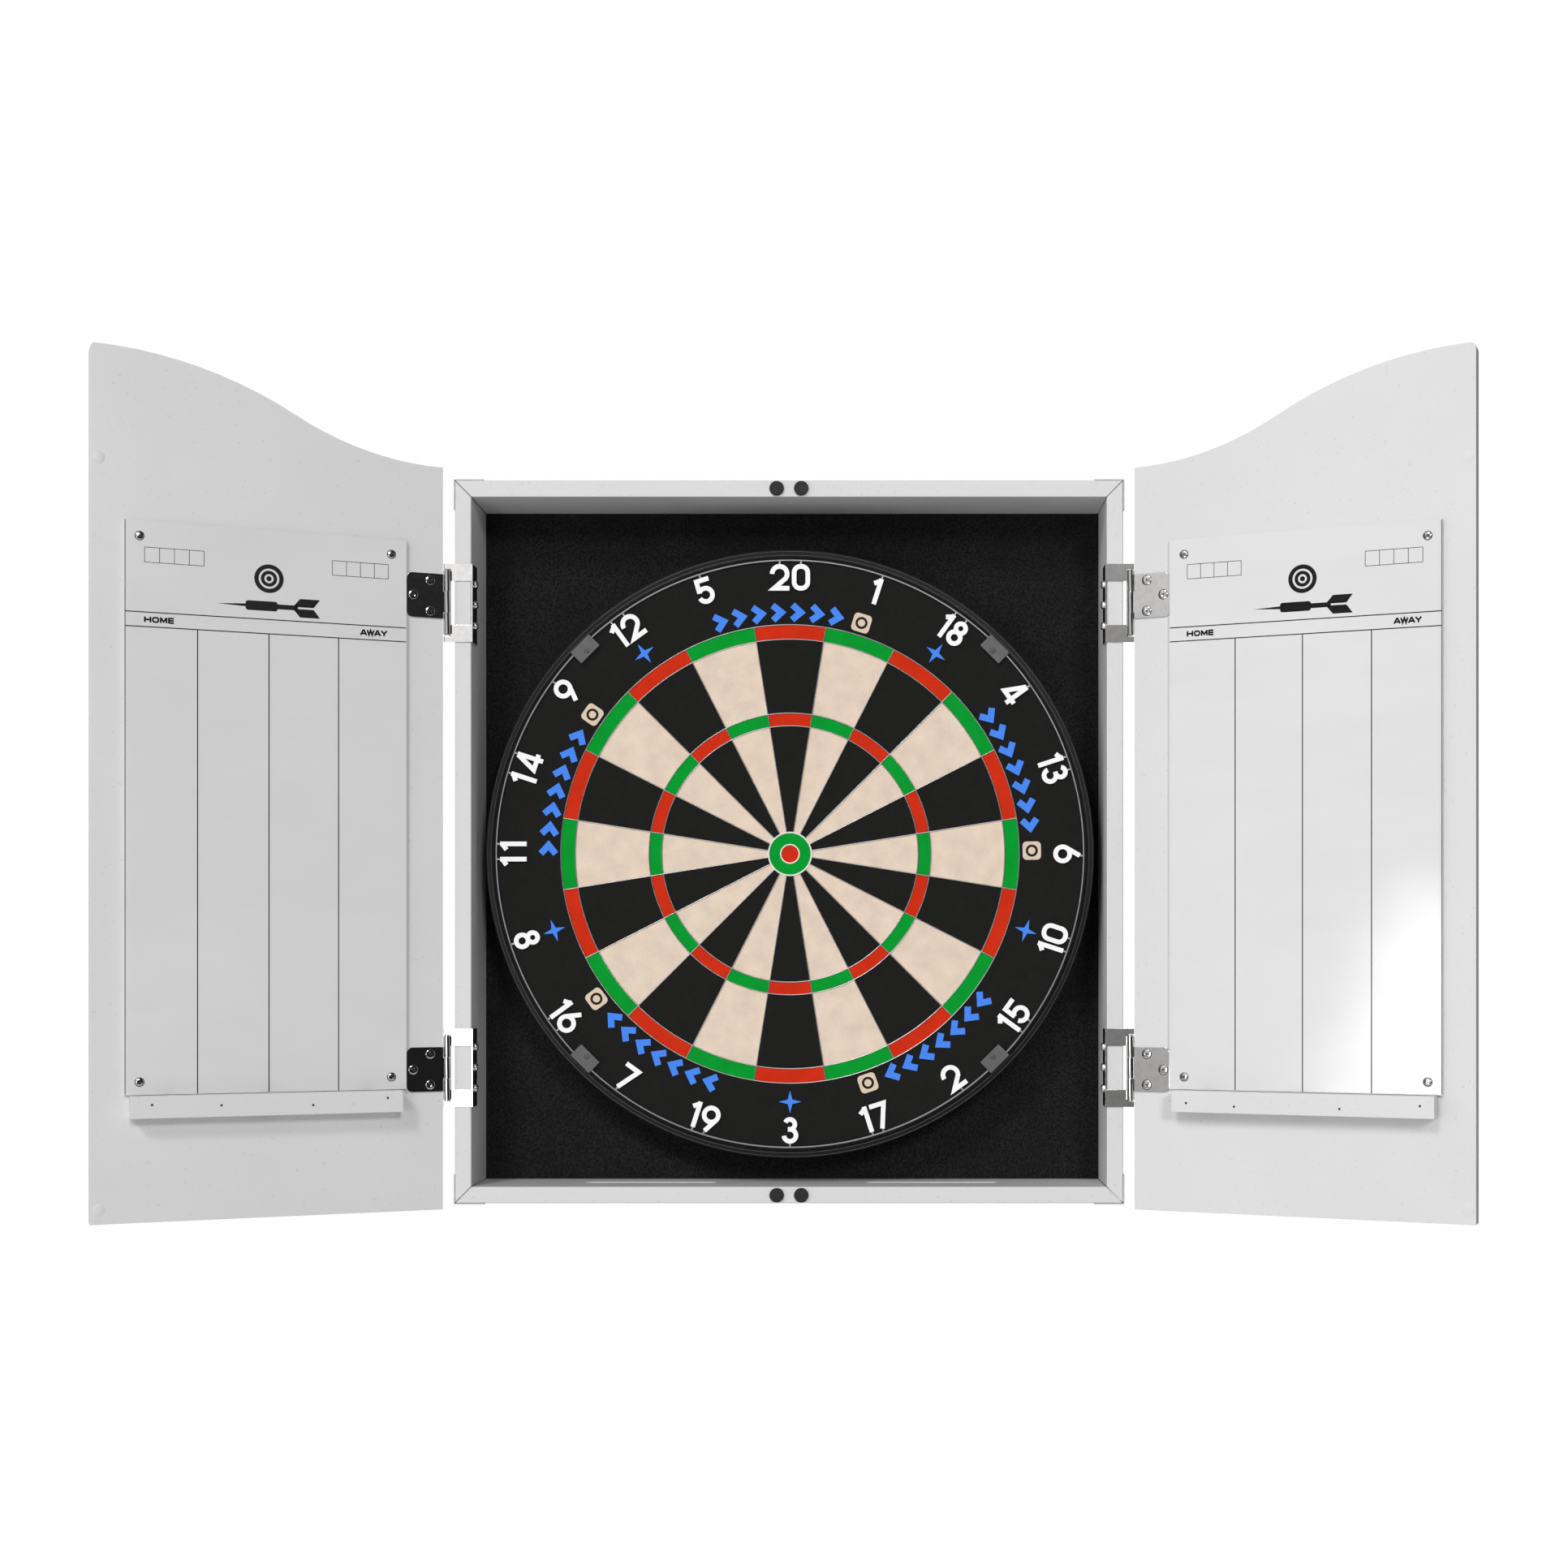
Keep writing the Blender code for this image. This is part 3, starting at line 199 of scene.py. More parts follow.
class Finish:
    """A Principled material. Its textures are laid out in metres, in the piece's own space."""

    def __init__(self, name, metallic=0.0, **sockets):
        self.material = bpy.data.materials.new(name)
        self.material.use_nodes = True
        self.tree = self.material.node_tree
        self.shader = self.tree.nodes["Principled BSDF"]
        self.shader.inputs["Metallic"].default_value = metallic
        for socket, value in sockets.items():
            label = socket.replace("_", " ").title().replace("Ior", "IOR")
            self.shader.inputs[label].default_value = value
        self.place = self.tree.nodes.new("ShaderNodeTexCoord").outputs["Object"]

    def node(self, kind, inputs, **settings):
        made = self.tree.nodes.new("ShaderNode" + kind)
        for key, value in settings.items():
            setattr(made, key, value)
        for key, value in inputs.items():
            if isinstance(value, bpy.types.NodeSocket):
                self.tree.links.new(value, made.inputs[key])
            else:
                made.inputs[key].default_value = value
        return made

    def noise(self, scale, detail=3.0, stretch=(1.0, 1.0, 1.0)):
        """Noise with features about 1 / scale metres across."""
        mapping = self.node("Mapping", {"Vector": self.place, "Scale": stretch})
        inputs = {"Vector": mapping.outputs["Vector"], "Scale": scale, "Detail": detail}
        return self.node("TexNoise", inputs).outputs["Fac"]

    def cells(self, scale):
        inputs = {"Vector": self.place, "Scale": scale}
        return self.node("TexVoronoi", inputs).outputs["Distance"]

    def remap(self, value, low, high, to_low, to_high):
        inputs = {"Value": value, "From Min": low, "From Max": high, "To Min": to_low, "To Max": to_high}
        return self.node("MapRange", inputs).outputs["Result"]

    def mix(self, mask, first, second):
        made = self.node("Mix", {0: mask}, data_type="RGBA")
        for index, value in ((6, first), (7, second)):
            if isinstance(value, bpy.types.NodeSocket):
                self.tree.links.new(value, made.inputs[index])
            else:
                made.inputs[index].default_value = (*value, 1.0)
        return made.outputs[2]

    def colour(self, socket):
        self.tree.links.new(socket, self.shader.inputs["Base Color"])

    def roughness(self, value, low, high, rough_low, rough_high):
        socket = self.remap(value, low, high, rough_low, rough_high)
        self.tree.links.new(socket, self.shader.inputs["Roughness"])

    def bump(self, *layers):
        """Each layer is (height, strength, distance in metres), coarse ones first."""
        normal = None
        for height, strength, distance in layers:
            inputs = {"Height": height, "Strength": strength, "Distance": distance}
            if normal:
                inputs["Normal"] = normal
            normal = self.node("Bump", inputs).outputs["Normal"]
        self.tree.links.new(normal, self.shader.inputs["Normal"])


def shade(colour, factor):
    return tuple(channel * factor for channel in colour)


def lacquer(name, colour, rough=(0.40, 0.47)):
    """Sprayed satin lacquer on fibreboard: faint clouding, orange peel and a few specks."""
    made = Finish(name, specular_ior_level=0.35)
    clouds = made.remap(made.noise(9.0, 2.0), 0.35, 0.65, 0.0, 1.0)
    base = made.mix(clouds, shade(colour, 0.972), colour)
    specks = made.remap(made.noise(420.0, 1.0), 0.70, 0.76, 0.0, 1.0)
    made.colour(made.mix(specks, base, shade(colour, 0.86)))
    made.roughness(made.noise(26.0), 0.3, 0.7, *rough)
    peel = made.noise(520.0, 1.0)
    made.bump((made.noise(14.0, 1.0), 0.05, 0.0008), (peel, 0.22, 0.00006))
    return made.material


def score_surface():
    """Glossy dry-wipe sheet, with the faint haze that wiping leaves."""
    made = Finish("score_surface")
    haze = made.remap(made.noise(11.0, 4.0, (1.0, 1.0, 2.6)), 0.35, 0.70, 0.0, 1.0)
    made.colour(made.mix(haze, SCORE_WHITE, shade(SCORE_WHITE, 0.965)))
    made.roughness(made.noise(7.0, 4.0, (1.0, 1.0, 3.0)), 0.3, 0.7, 0.08, 0.13)
    made.bump((made.noise(9.0, 1.0), 0.06, 0.0004), (made.noise(420.0, 2.0), 0.30, 0.00006))
    return made.material


def felt():
    """Thin black felt: clumped fibres, a few of them painted lighter as if catching the light: painted
    glints.
    """
    made = Finish("black_felt", sheen_weight=0.05, sheen_roughness=0.5, specular_ior_level=0.10)
    clumps = made.remap(made.noise(620.0, 3.0), 0.36, 0.64, 0.0, 1.0)
    nap = made.mix(clumps, shade(FELT_BLACK, 0.30), shade(FELT_BLACK, 1.35))
    # Painted glints: a few fibres painted lighter, as if catching the light
    painted_glints = made.remap(made.noise(1400.0, 2.0), 0.62, 0.74, 0.0, 0.7)
    tone = made.mix(painted_glints, nap, shade(FELT_BLACK, 3.2))
    patches = made.remap(made.noise(26.0, 3.0), 0.35, 0.65, 0.0, 0.35)
    made.colour(made.mix(patches, tone, shade(FELT_BLACK, 0.45)))
    made.roughness(made.noise(620.0), 0.3, 0.7, 0.88, 1.0)
    made.bump((made.noise(240.0, 3.0), 0.45, 0.0008), (made.noise(1400.0, 2.0), 0.7, 0.0005))
    return made.material


def hardboard():
    """Bare brown fibreboard: matted fibres, flecked light and dark."""
    made = Finish("raw_fibreboard")
    mat = made.remap(made.noise(180.0, 5.0, (1.0, 1.0, 2.2)), 0.3, 0.7, 0.0, 1.0)
    base = made.mix(mat, (0.21, 0.125, 0.062), (0.40, 0.27, 0.155))
    flecks = made.remap(made.noise(900.0, 2.0), 0.60, 0.72, 0.0, 0.6)
    made.colour(made.mix(flecks, base, (0.52, 0.38, 0.24)))
    made.roughness(made.noise(60.0), 0.3, 0.7, 0.72, 0.90)
    made.bump((made.noise(420.0, 4.0), 0.35, 0.0003),)
    return made.material


def sisal(name, colour):
    """End-grain sisal: a close stipple of fibre ends over soft mottling."""
    made = Finish(name, specular_ior_level=0.10)
    mottle = made.remap(made.noise(75.0, 4.0), 0.32, 0.68, 0.0, 1.0)
    base = made.mix(mottle, shade(colour, 0.90), shade(colour, 1.03))
    ends = made.remap(made.noise(1300.0, 2.0), 0.56, 0.70, 0.0, 0.55)
    darker = made.mix(ends, base, shade(colour, 0.72))
    pale = made.remap(made.noise(620.0, 3.0), 0.64, 0.74, 0.0, 0.5)
    made.colour(made.mix(pale, darker, tuple(min(1.0, c * 1.06 + 0.008) for c in colour)))
    made.roughness(made.noise(300.0), 0.3, 0.7, 0.80, 0.95)
    made.bump((made.noise(110.0, 3.0), 0.25, 0.0005), (made.cells(1500.0), 0.35, 0.0002))
    return made.material


def plate(name, colour, rough, dents=0.00005, grain=(1.0, 1.0, 1.0)):
    """Plated sheet or turned metal: rolled unevenness, cloudy gloss and fine rubs."""
    made = Finish(name, metallic=1.0)
    clouds = made.remap(made.noise(210.0, 4.0), 0.30, 0.72, 0.0, 1.0)
    rubs = made.remap(made.noise(1500.0, 3.0, grain), 0.50, 0.75, 0.0, 0.45)
    base = made.mix(clouds, shade(colour, 0.86), colour)
    made.colour(made.mix(rubs, base, shade(colour, 0.70)))
    made.roughness(made.noise(330.0, 4.0), 0.30, 0.70, *rough)
    made.bump((made.noise(120.0, 2.0), 0.45, dents), (made.noise(1500.0, 3.0, grain), 0.10, 0.00002))
    return made.material


def moulded(name, colour, rough, speckle=0.3, specular=0.5):
    """Moulded plastic or rubber with a fine spark-eroded grain."""
    made = Finish(name, specular_ior_level=specular)
    grain = made.noise(1700.0, 2.0)
    dust = made.remap(made.noise(160.0, 4.0), 0.45, 0.75, 0.0, speckle)
    made.colour(made.mix(dust, colour, tuple(c * 1.5 + 0.006 for c in colour)))
    made.roughness(made.noise(120.0), 0.3, 0.7, *rough)
    made.bump((grain, 0.35, 0.00012),)
    return made.material


def ink(name, colour, rough=(0.35, 0.50)):
    """Screen-printed ink, slightly thin in places."""
    made = Finish(name, specular_ior_level=0.15)
    thin = made.remap(made.noise(240.0, 4.0), 0.40, 0.75, 0.0, 0.30)
    made.colour(made.mix(thin, colour, tuple(c * 0.85 + 0.006 for c in colour)))
    made.roughness(made.noise(90.0), 0.3, 0.7, *rough)
    made.bump((made.noise(1100.0, 2.0), 0.18, 0.00006),)
    return made.material


LACQUER = lacquer("white_lacquer", WHITE)
SCORE = score_surface()
FELT = felt()
HARDBOARD = hardboard()
BLACK_BED = sisal("sisal_black", SISAL_BLACK)
CREAM_BED = sisal("sisal_cream", SISAL_CREAM)
RED_BED = sisal("sisal_red", SISAL_RED)
GREEN_BED = sisal("sisal_green", SISAL_GREEN)
NICKEL = plate("nickel_plate", (0.76, 0.75, 0.74), (0.05, 0.09), 0.00003)
ZINC = plate("zinc_plate", (0.62, 0.63, 0.65), (0.08, 0.15))
WIRE = plate("bed_wire", (0.62, 0.62, 0.62), (0.28, 0.42), 0.00003)
BULL_WIRE = lacquer("bull_ring_white", (0.88, 0.86, 0.82))
RING_GREY = plate("ring_wire", (0.30, 0.30, 0.31), (0.35, 0.50), 0.00003)
BAND = moulded("band_black", (0.004, 0.004, 0.0045), (0.32, 0.45), 0.1, 0.15)
# Painted highlight: the grey metal of the band's thin ridges
LIP_HIGHLIGHT = plate("band_lip_highlight", (0.16, 0.16, 0.17), (0.35, 0.50), 0.00002)
MAGNET_BLACK = moulded("magnet_black", (0.012, 0.012, 0.0125), (0.45, 0.65), 0.3, 0.25)
CLIP_GREY = moulded("clip_grey", (0.085, 0.085, 0.088), (0.50, 0.65))
# Nail heads, darkened with painted shade of their punched holes
NAIL_AND_HOLE_SHADE = moulded("nail_head_and_hole_shade", (0.03, 0.03, 0.03), (0.40, 0.60))
# Painted shade for the rims of screw holes and the floors of cross recesses
SCREW_SHADE = moulded("screw_painted_shade", (0.020, 0.020, 0.020), (0.50, 0.70), 0.5, 0.3)
RUBBER = moulded("foot_rubber", (0.020, 0.020, 0.020), (0.75, 0.92))
NUMBER_WHITE = lacquer("number_white", (0.92, 0.92, 0.92))
INK_BLACK = ink("ink_black", (0.004, 0.004, 0.0045))
# Ink of the printed lines, also used for the painted shadow line at each scoreboard's outer edge
LINE_INK_AND_EDGE_SHADE = ink("ink_lines_and_edge_shade", (0.010, 0.010, 0.0105))
INK_BLUE = ink("ink_blue", PRINT_BLUE, (0.55, 0.75))
INK_BEIGE = ink("ink_beige", PRINT_BEIGE, (0.55, 0.75))


# ---------------------------------------------------------------- shapes


def face_frame(origin, out):
    """The frame of an upright face: x to the right, y up and z out of it."""
    out = Vector(out).normalized()
    right = Vector((0.0, 0.0, 1.0)).cross(out)
    made = Matrix((right, Vector((0.0, 0.0, 1.0)), out)).transposed().to_4x4()
    made.translation = Vector(origin)
    return made


def box_in(node, place):
    """Lowest and highest corner of a CAD node, in the face frame given."""
    inverse = place.inverted()
    points = [inverse @ v.co for v in frame["nodes"][node].data.vertices]
    low = Vector([min(p[i] for p in points) for i in range(3)])
    high = Vector([max(p[i] for p in points) for i in range(3)])
    return low, high


def arc(centre, radius, start, end, steps):
    """Points from the start angle to the end angle, in degrees, both included."""
    points = []
    for i in range(steps + 1):
        angle = math.radians(start + (end - start) * i / steps)
        points.append((centre[0] + radius * math.cos(angle), centre[1] + radius * math.sin(angle)))
    return points


def circle(centre, radius, steps):
    return arc(centre, radius, 0.0, 360.0, steps)[:-1]


def rounded(low_a, high_a, low_b, high_b, radius, steps=6):
    outline = []
    corners = ((high_a, high_b, 0), (low_a, high_b, 90), (low_a, low_b, 180), (high_a, low_b, 270))
    for a, b, start in corners:
        centre = (a + (radius if a == low_a else -radius), b + (radius if b == low_b else -radius))
        outline += arc(centre, radius, start, start + 90, steps)
    return outline


def bridge(bm, first, second):
    """Faces between two closed loops, either of which may be a single point."""
    steps = max(len(first), len(second))
    for i in range(steps):
        j = (i + 1) % steps
        corners = [first[i % len(first)], first[j % len(first)]]
        corners += [second[j % len(second)], second[i % len(second)]]
        bm.faces.new(list(dict.fromkeys(corners)))


def prism(bm, outline, low, high):
    near = [bm.verts.new((a, b, low)) for a, b in outline]
    far = [bm.verts.new((a, b, high)) for a, b in outline]
    bm.faces.new(near)
    bm.faces.new(far)
    bridge(bm, near, far)


def bar(bm, start, end, half, low, high):
    """A straight strip of even width from one point to another."""
    strip(bm, [start, end], False, half, low, high)


def lathe(bm, profile, steps):
    """A solid turned about the z axis.

    The profile runs (radius, z), and is closed on itself if it doesn't start at radius 0.
    """
    loops = []
    for radius, z in profile:
        if radius == 0:
            loops.append([bm.verts.new((0.0, 0.0, z))])
        else:
            loops.append([bm.verts.new((a, b, z)) for a, b in circle((0.0, 0.0), radius, steps)])
    for first, second in zip(loops, loops[1:]):
        bridge(bm, first, second)
    if profile[0][0]:
        bridge(bm, loops[-1], loops[0])


def strip_sides(points, closed, half):
    """The two edges of a strip of even width along a centreline, mitred at its corners."""
    count = len(points)
    left, right = [], []
    for i, (a, b) in enumerate(points):
        before = points[i - 1] if i or closed else (a, b)
        after = points[(i + 1) % count] if i < count - 1 or closed else (a, b)
        normals = []
        for (a0, b0), (a1, b1) in ((before, (a, b)), ((a, b), after)):
            length = math.hypot(a1 - a0, b1 - b0)
            if length:
                normals.append(((b0 - b1) / length, (a1 - a0) / length))
        na = sum(n[0] for n in normals)
        nb = sum(n[1] for n in normals)
        scale = half * len(normals) / (na * na + nb * nb)
        left.append((a + na * scale, b + nb * scale))
        right.append((a - na * scale, b - nb * scale))
    return left, right


def strip(bm, points, closed, half, low, high):
    """A flat strip along a centreline, as one closed solid."""
    left, right = strip_sides(points, closed, half)
    if not closed:
        prism(bm, left + right[::-1], low, high)
        return
    loops = []
    for edge, z in ((left, low), (right, low), (right, high), (left, high)):
        loops.append([bm.verts.new((a, b, z)) for a, b in edge])
    for first, second in zip(loops, loops[1:] + loops[:1]):
        bridge(bm, first, second)


def mesh_of(bm, name):
    bmesh.ops.recalc_face_normals(bm, faces=bm.faces)
    mesh = bpy.data.meshes.new(name)
    bm.to_mesh(mesh)
    bm.free()
    mesh.shade_smooth()
    mesh.set_sharp_from_angle(angle=math.radians(SHARP_ANGLE))
    return mesh


def piece(name, mesh, materials, body, place=None):
    """One visible piece, put in its place and set to ride on its body."""
    obj = bpy.data.objects.new(name, mesh)
    bpy.context.scene.collection.objects.link(obj)
    if not mesh.materials:
        for material in materials:
            mesh.materials.append(material)
    if place:
        obj.matrix_world = place
    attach(obj, body)
    return obj


def soften(obj, width):
    modifier = obj.modifiers.new("soft_edges", "BEVEL")
    modifier.width = width
    modifier.segments = 2
    modifier.limit_method = "ANGLE"
    modifier.angle_limit = math.radians(SHARP_ANGLE)
    return obj


def joined(name, base, extra):
    """Base with extra's overlapping solids joined to it, as one clean mesh."""
    objects = [bpy.data.objects.new(name + "_raw", mesh) for mesh in (base, extra)]
    for obj in objects:
        bpy.context.scene.collection.objects.link(obj)
    modifier = objects[0].modifiers.new("join", "BOOLEAN")
    modifier.operation = "UNION"
    modifier.object = objects[1]
    modifier.use_self = True
    return take_result(name, objects)


def cut(name, base, cutter):
    objects = [bpy.data.objects.new(name + "_raw", mesh) for mesh in (base, cutter)]
    for obj in objects:
        bpy.context.scene.collection.objects.link(obj)
    modifier = objects[0].modifiers.new("cut", "BOOLEAN")
    modifier.operation = "DIFFERENCE"
    modifier.object = objects[1]
    return take_result(name, objects)


def take_result(name, objects):
    """The first object's finished mesh. The helpers are removed."""
    graph = bpy.context.evaluated_depsgraph_get()
    made = bpy.data.meshes.new_from_object(objects[0].evaluated_get(graph))
    made.name = name
    for obj in objects:
        bpy.data.objects.remove(obj)
    made.shade_smooth()
    made.set_sharp_from_angle(angle=math.radians(SHARP_ANGLE))
    return made


# ---------------------------------------------------------------- the model's own parts


def smooth_group():
    """Geometry nodes that shade a welded CAD mesh smooth, except across its sharp edges."""
    group = bpy.data.node_groups.new("smooth_by_angle", "GeometryNodeTree")
    group.interface.new_socket("Mesh", in_out="INPUT", socket_type="NodeSocketGeometry")
    group.interface.new_socket("Mesh", in_out="OUTPUT", socket_type="NodeSocketGeometry")
    source = group.nodes.new("NodeGroupInput")
    result = group.nodes.new("NodeGroupOutput")
    angle = group.nodes.new("GeometryNodeInputMeshEdgeAngle")
    compare = group.nodes.new("FunctionNodeCompare")
    compare.data_type = "FLOAT"
    compare.operation = "LESS_THAN"
    compare.inputs["B"].default_value = math.radians(CAD_SHARP_ANGLE)
    edges = group.nodes.new("GeometryNodeSetShadeSmooth")
    edges.domain = "EDGE"
    faces = group.nodes.new("GeometryNodeSetShadeSmooth")
    faces.domain = "FACE"
    group.links.new(angle.outputs["Unsigned Angle"], compare.inputs["A"])
    group.links.new(source.outputs["Mesh"], edges.inputs["Geometry"])
    group.links.new(compare.outputs["Result"], edges.inputs["Shade Smooth"])
    group.links.new(edges.outputs["Geometry"], faces.inputs["Geometry"])
    group.links.new(faces.outputs["Geometry"], result.inputs["Mesh"])
    return group


SMOOTH = smooth_group()


def dress(node, material, width=0.0):
    """Gives a CAD node its finish, and rounds its edges by width without touching its mesh."""
    obj = frame["nodes"][node]
    obj.data.materials.clear()
    obj.data.materials.append(material)
    weld = obj.modifiers.new("weld", "WELD")
    weld.merge_threshold = 0.00001
    if width:
        soften(obj, width)
    smooth = obj.modifiers.new("smooth", "NODES")
    smooth.node_group = SMOOTH
    level = obj.modifiers.new("level_faces", "WEIGHTED_NORMAL")
    level.keep_sharp = True
    return obj


def dress_model():
    for side in SIDES:
        dress(f"{side}_door_panel", LACQUER, 0.0004)
        dress(f"{side}_scoreboard", SCORE, 0.00008)
        dress(f"{side}_dart_rail", LACQUER, 0.0004)
        for level in LEVELS:
            dress(f"{side}_{level}_frame_leaf", NICKEL, 0.0003)
            dress(f"{side}_{level}_door_leaf", NICKEL, 0.0003)
            dress(f"{side}_{level}_hinge_pin", NICKEL)
    for wall in ("top", "bottom", "left", "right"):
        dress(f"case_{wall}", LACQUER, 0.0003)
    for level in ("top", "bottom"):
        for side in SIDES:
            dress(f"corner_brace_{level}_{side}", LACQUER, 0.0002)
            dress(f"magnet_catch_{level}_{side}", MAGNET_BLACK, 0.0002)
    for level in LEVELS:
        for side in SIDES:
            dress(f"ring_clip_{level}_{side}", CLIP_GREY, 0.0005)
    for place in ("left", "right", "lower"):
        dress(f"bracket_screw_{place}", ZINC)
    for place in ("left", "right", "top"):
        dress(f"rubber_foot_{place}", RUBBER, 0.0006)
    dress("back_panel", HARDBOARD)
    dress("backing_disc", HARDBOARD)
    dress("back_lining", FELT)
    dress("board_bracket", ZINC, 0.0003)
    dress("hanging_screw", ZINC)


# ---------------------------------------------------------------- screws, nails and discs


def screw_mesh(name, radius, height, material, recess=0.55):
    """A pan head with a cross recess, seated at z 0. A dark ring round the head is painted shadow for
    the rim of its hole, and the recess floor is painted shade.
    """
    bm = bmesh.new()
    profile = [(0.0, height), (radius * 0.50, height * 0.95), (radius * 0.76, height * 0.80)]
    profile += [(radius * 0.91, height * 0.50), (radius * 0.98, height * 0.22), (radius, 0.0)]
    profile += [(radius * 0.5, -0.0004), (0.0, -0.0004)]
    lathe(bm, profile, 28)
    head = mesh_of(bm, name)
    cutter = bmesh.new()
    reach, half = radius * recess, radius * 0.115
    cross = [(reach, half), (half, half), (half, reach), (-half, reach), (-half, half), (-reach, half)]
    cross += [(-a, -b) for a, b in cross]
    floor = height * 0.25
    low = [cutter.verts.new((a * 0.55, b * 0.55, floor)) for a, b in cross]
    high = [cutter.verts.new((a * 1.08, b * 1.08, height + 0.0003)) for a, b in cross]
    cutter.faces.new(low)
    cutter.faces.new(high)
    bridge(cutter, low, high)
    made = cut(name, head, mesh_of(cutter, name + "_recess"))
    full = bmesh.new()
    full.from_mesh(made)
    before = len(full.faces)
    # Painted shadow: a dark ring round the head, and the recess floor painted dark as shade
    shadow_ring = [(radius * 0.97, 0.00006), (radius * 1.13, 0.00006), (radius * 1.13, -0.0002)]
    lathe(full, shadow_ring + [(radius * 0.97, -0.0002)], 28)
    full.faces.ensure_lookup_table()
    for index, face in enumerate(full.faces):
        shaded_floor = abs(face.calc_center_median().z - floor) < 0.00001
        face.material_index = int(index >= before or shaded_floor)
    made = mesh_of(full, name)
    made.materials.append(material)
    made.materials.append(SCREW_SHADE)
    return made


def on_face(place, a, b, z, turn=0.0):
    """A frame on a face: at (a, b, z) there, turned about the face's own outward axis."""
    return place @ Matrix.Translation((a, b, z)) @ Matrix.Rotation(math.radians(turn), 4, "Z")


DOOR_FRAMES = {}
for door_side in SIDES:
    hinge = JOINTS[f"{door_side}_door_hinge"]
    opened = Matrix.Rotation(math.radians(-hinge["range_deg"][0]), 3, Vector(hinge["axis"]))
    DOOR_FRAMES[door_side] = face_frame(hinge["pos_m"], opened @ Vector((0.0, 1.0, 0.0)))

board_low, board_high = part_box("sisal_board")
BOARD_FACE = board_low.y
BOARD_CENTRE = ((board_low + board_high) / 2).z
BOARD_FRAME = face_frame((0.0, BOARD_FACE, BOARD_CENTRE), (0.0, -1.0, 0.0))


def make_score_screws():
    mesh = screw_mesh("score_screw_head", 0.0029, 0.0007, ZINC)
    for side in SIDES:
        place = DOOR_FRAMES[side]
        top = box_in(f"{side}_scoreboard", place)[1].z
        for index, level in enumerate(LEVELS):
            for end in ("hinge", "outer"):
                node = f"{side}_score_screw_{level}_{end}"
                low, high = box_in(node, place)
                a, b = (low.x + high.x) / 2, (low.y + high.y) / 2
                turn = 20.0 + 37.0 * index + (11.0 if end == "hinge" else 0.0)
                name = f"{side}_score_screw_{level}_{end}_head"
                spot = on_face(place, a, b, top, turn)
                obj = piece(name, mesh, (), f"{side}_door", spot)
                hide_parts(node)


def make_hinge_screws():
    plate_mesh = screw_mesh("plate_screw", 0.0033, 0.00026, NICKEL)
    leg_mesh = screw_mesh("leg_screw", 0.0030, 0.0024, NICKEL)
    for side in SIDES:
        sign = 1 if side == "right" else -1
        place = DOOR_FRAMES[side]
        for level in LEVELS:
            low, high = box_in(f"{side}_{level}_door_leaf", place)
            middle = (low.y + high.y) / 2
            panel = box_in(f"{side}_door_panel", place)
            edge = panel[0].x if sign > 0 else panel[1].x
            top = panel[1].z + GAP + LEAF_THICK
            for index, (u, z) in enumerate(PLATE_SCREWS):
                name = f"{side}_{level}_plate_screw_{index + 1}"
                spot = on_face(place, edge + sign * u, middle + z, top, 25.0 * index + 8.0)
                piece(name, plate_mesh, (), f"{side}_door", spot)
            low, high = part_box(f"{side}_{level}_frame_leaf")
            inner = low.x if sign > 0 else high.x
            wall = face_frame((inner, 0.0, (low.z + high.z) / 2), (-sign, 0.0, 0.0))
            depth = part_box("case_top")[0].y + LEG_SCREW_DEPTH
            for index, z in enumerate(LEG_SCREW_Z):
                name = f"{side}_{level}_leg_screw_{index + 1}"
                spot = on_face(wall, -sign * depth, z, 0.0, 31.0 * index)
                piece(name, leg_mesh, (), "case", spot)


def make_clip_screws():
    mesh = screw_mesh("clip_screw_head", 0.0018, 0.0005, CLIP_GREY, 0.6)
    top = box_in("ring_clip_upper_left", BOARD_FRAME)[1].z
    names = ("upper_right", "upper_left", "lower_left", "lower_right")
    for index, name in enumerate(names):
        angle = math.radians(45 + 90 * index)
        a, b = CLIP_RADIUS * math.cos(angle), CLIP_RADIUS * math.sin(angle)
        spot = on_face(BOARD_FRAME, a, b, top)
        piece(f"ring_clip_screw_{name}", mesh, (), "dart_board", spot)


def make_rail_nails():
    """Punched nails, driven by eye: distance from the door's hinge edge, and height."""
    bm = bmesh.new()
    # The heads are near black: nail heads with painted shade of their punched holes
    lathe(bm, [(0.0, 0.0001), (0.0007, 0.00008), (0.0009, 0.0), (0.0, -0.0006)], 16)
    mesh = mesh_of(bm, "rail_nail")
    nails = {
        "left": ((0.0429, -0.1857), (0.0953, -0.1894), (0.1579, -0.1880), (0.2039, -0.1866)),
        "right": ((0.0428, -0.1893), (0.0778, -0.1910), (0.1526, -0.1907), (0.2078, -0.1873)),
    }
    for side in SIDES:
        place = DOOR_FRAMES[side]
        panel = box_in(f"{side}_door_panel", place)
        top = box_in(f"{side}_dart_rail", place)[1].z
        for index, (u, z) in enumerate(nails[side]):
            a = panel[0].x + u if side == "right" else panel[1].x - u
            name = f"{side}_rail_nail_{index + 1}"
            piece(name, mesh, (NAIL_AND_HOLE_SHADE,), f"{side}_door", on_face(place, a, z, top))


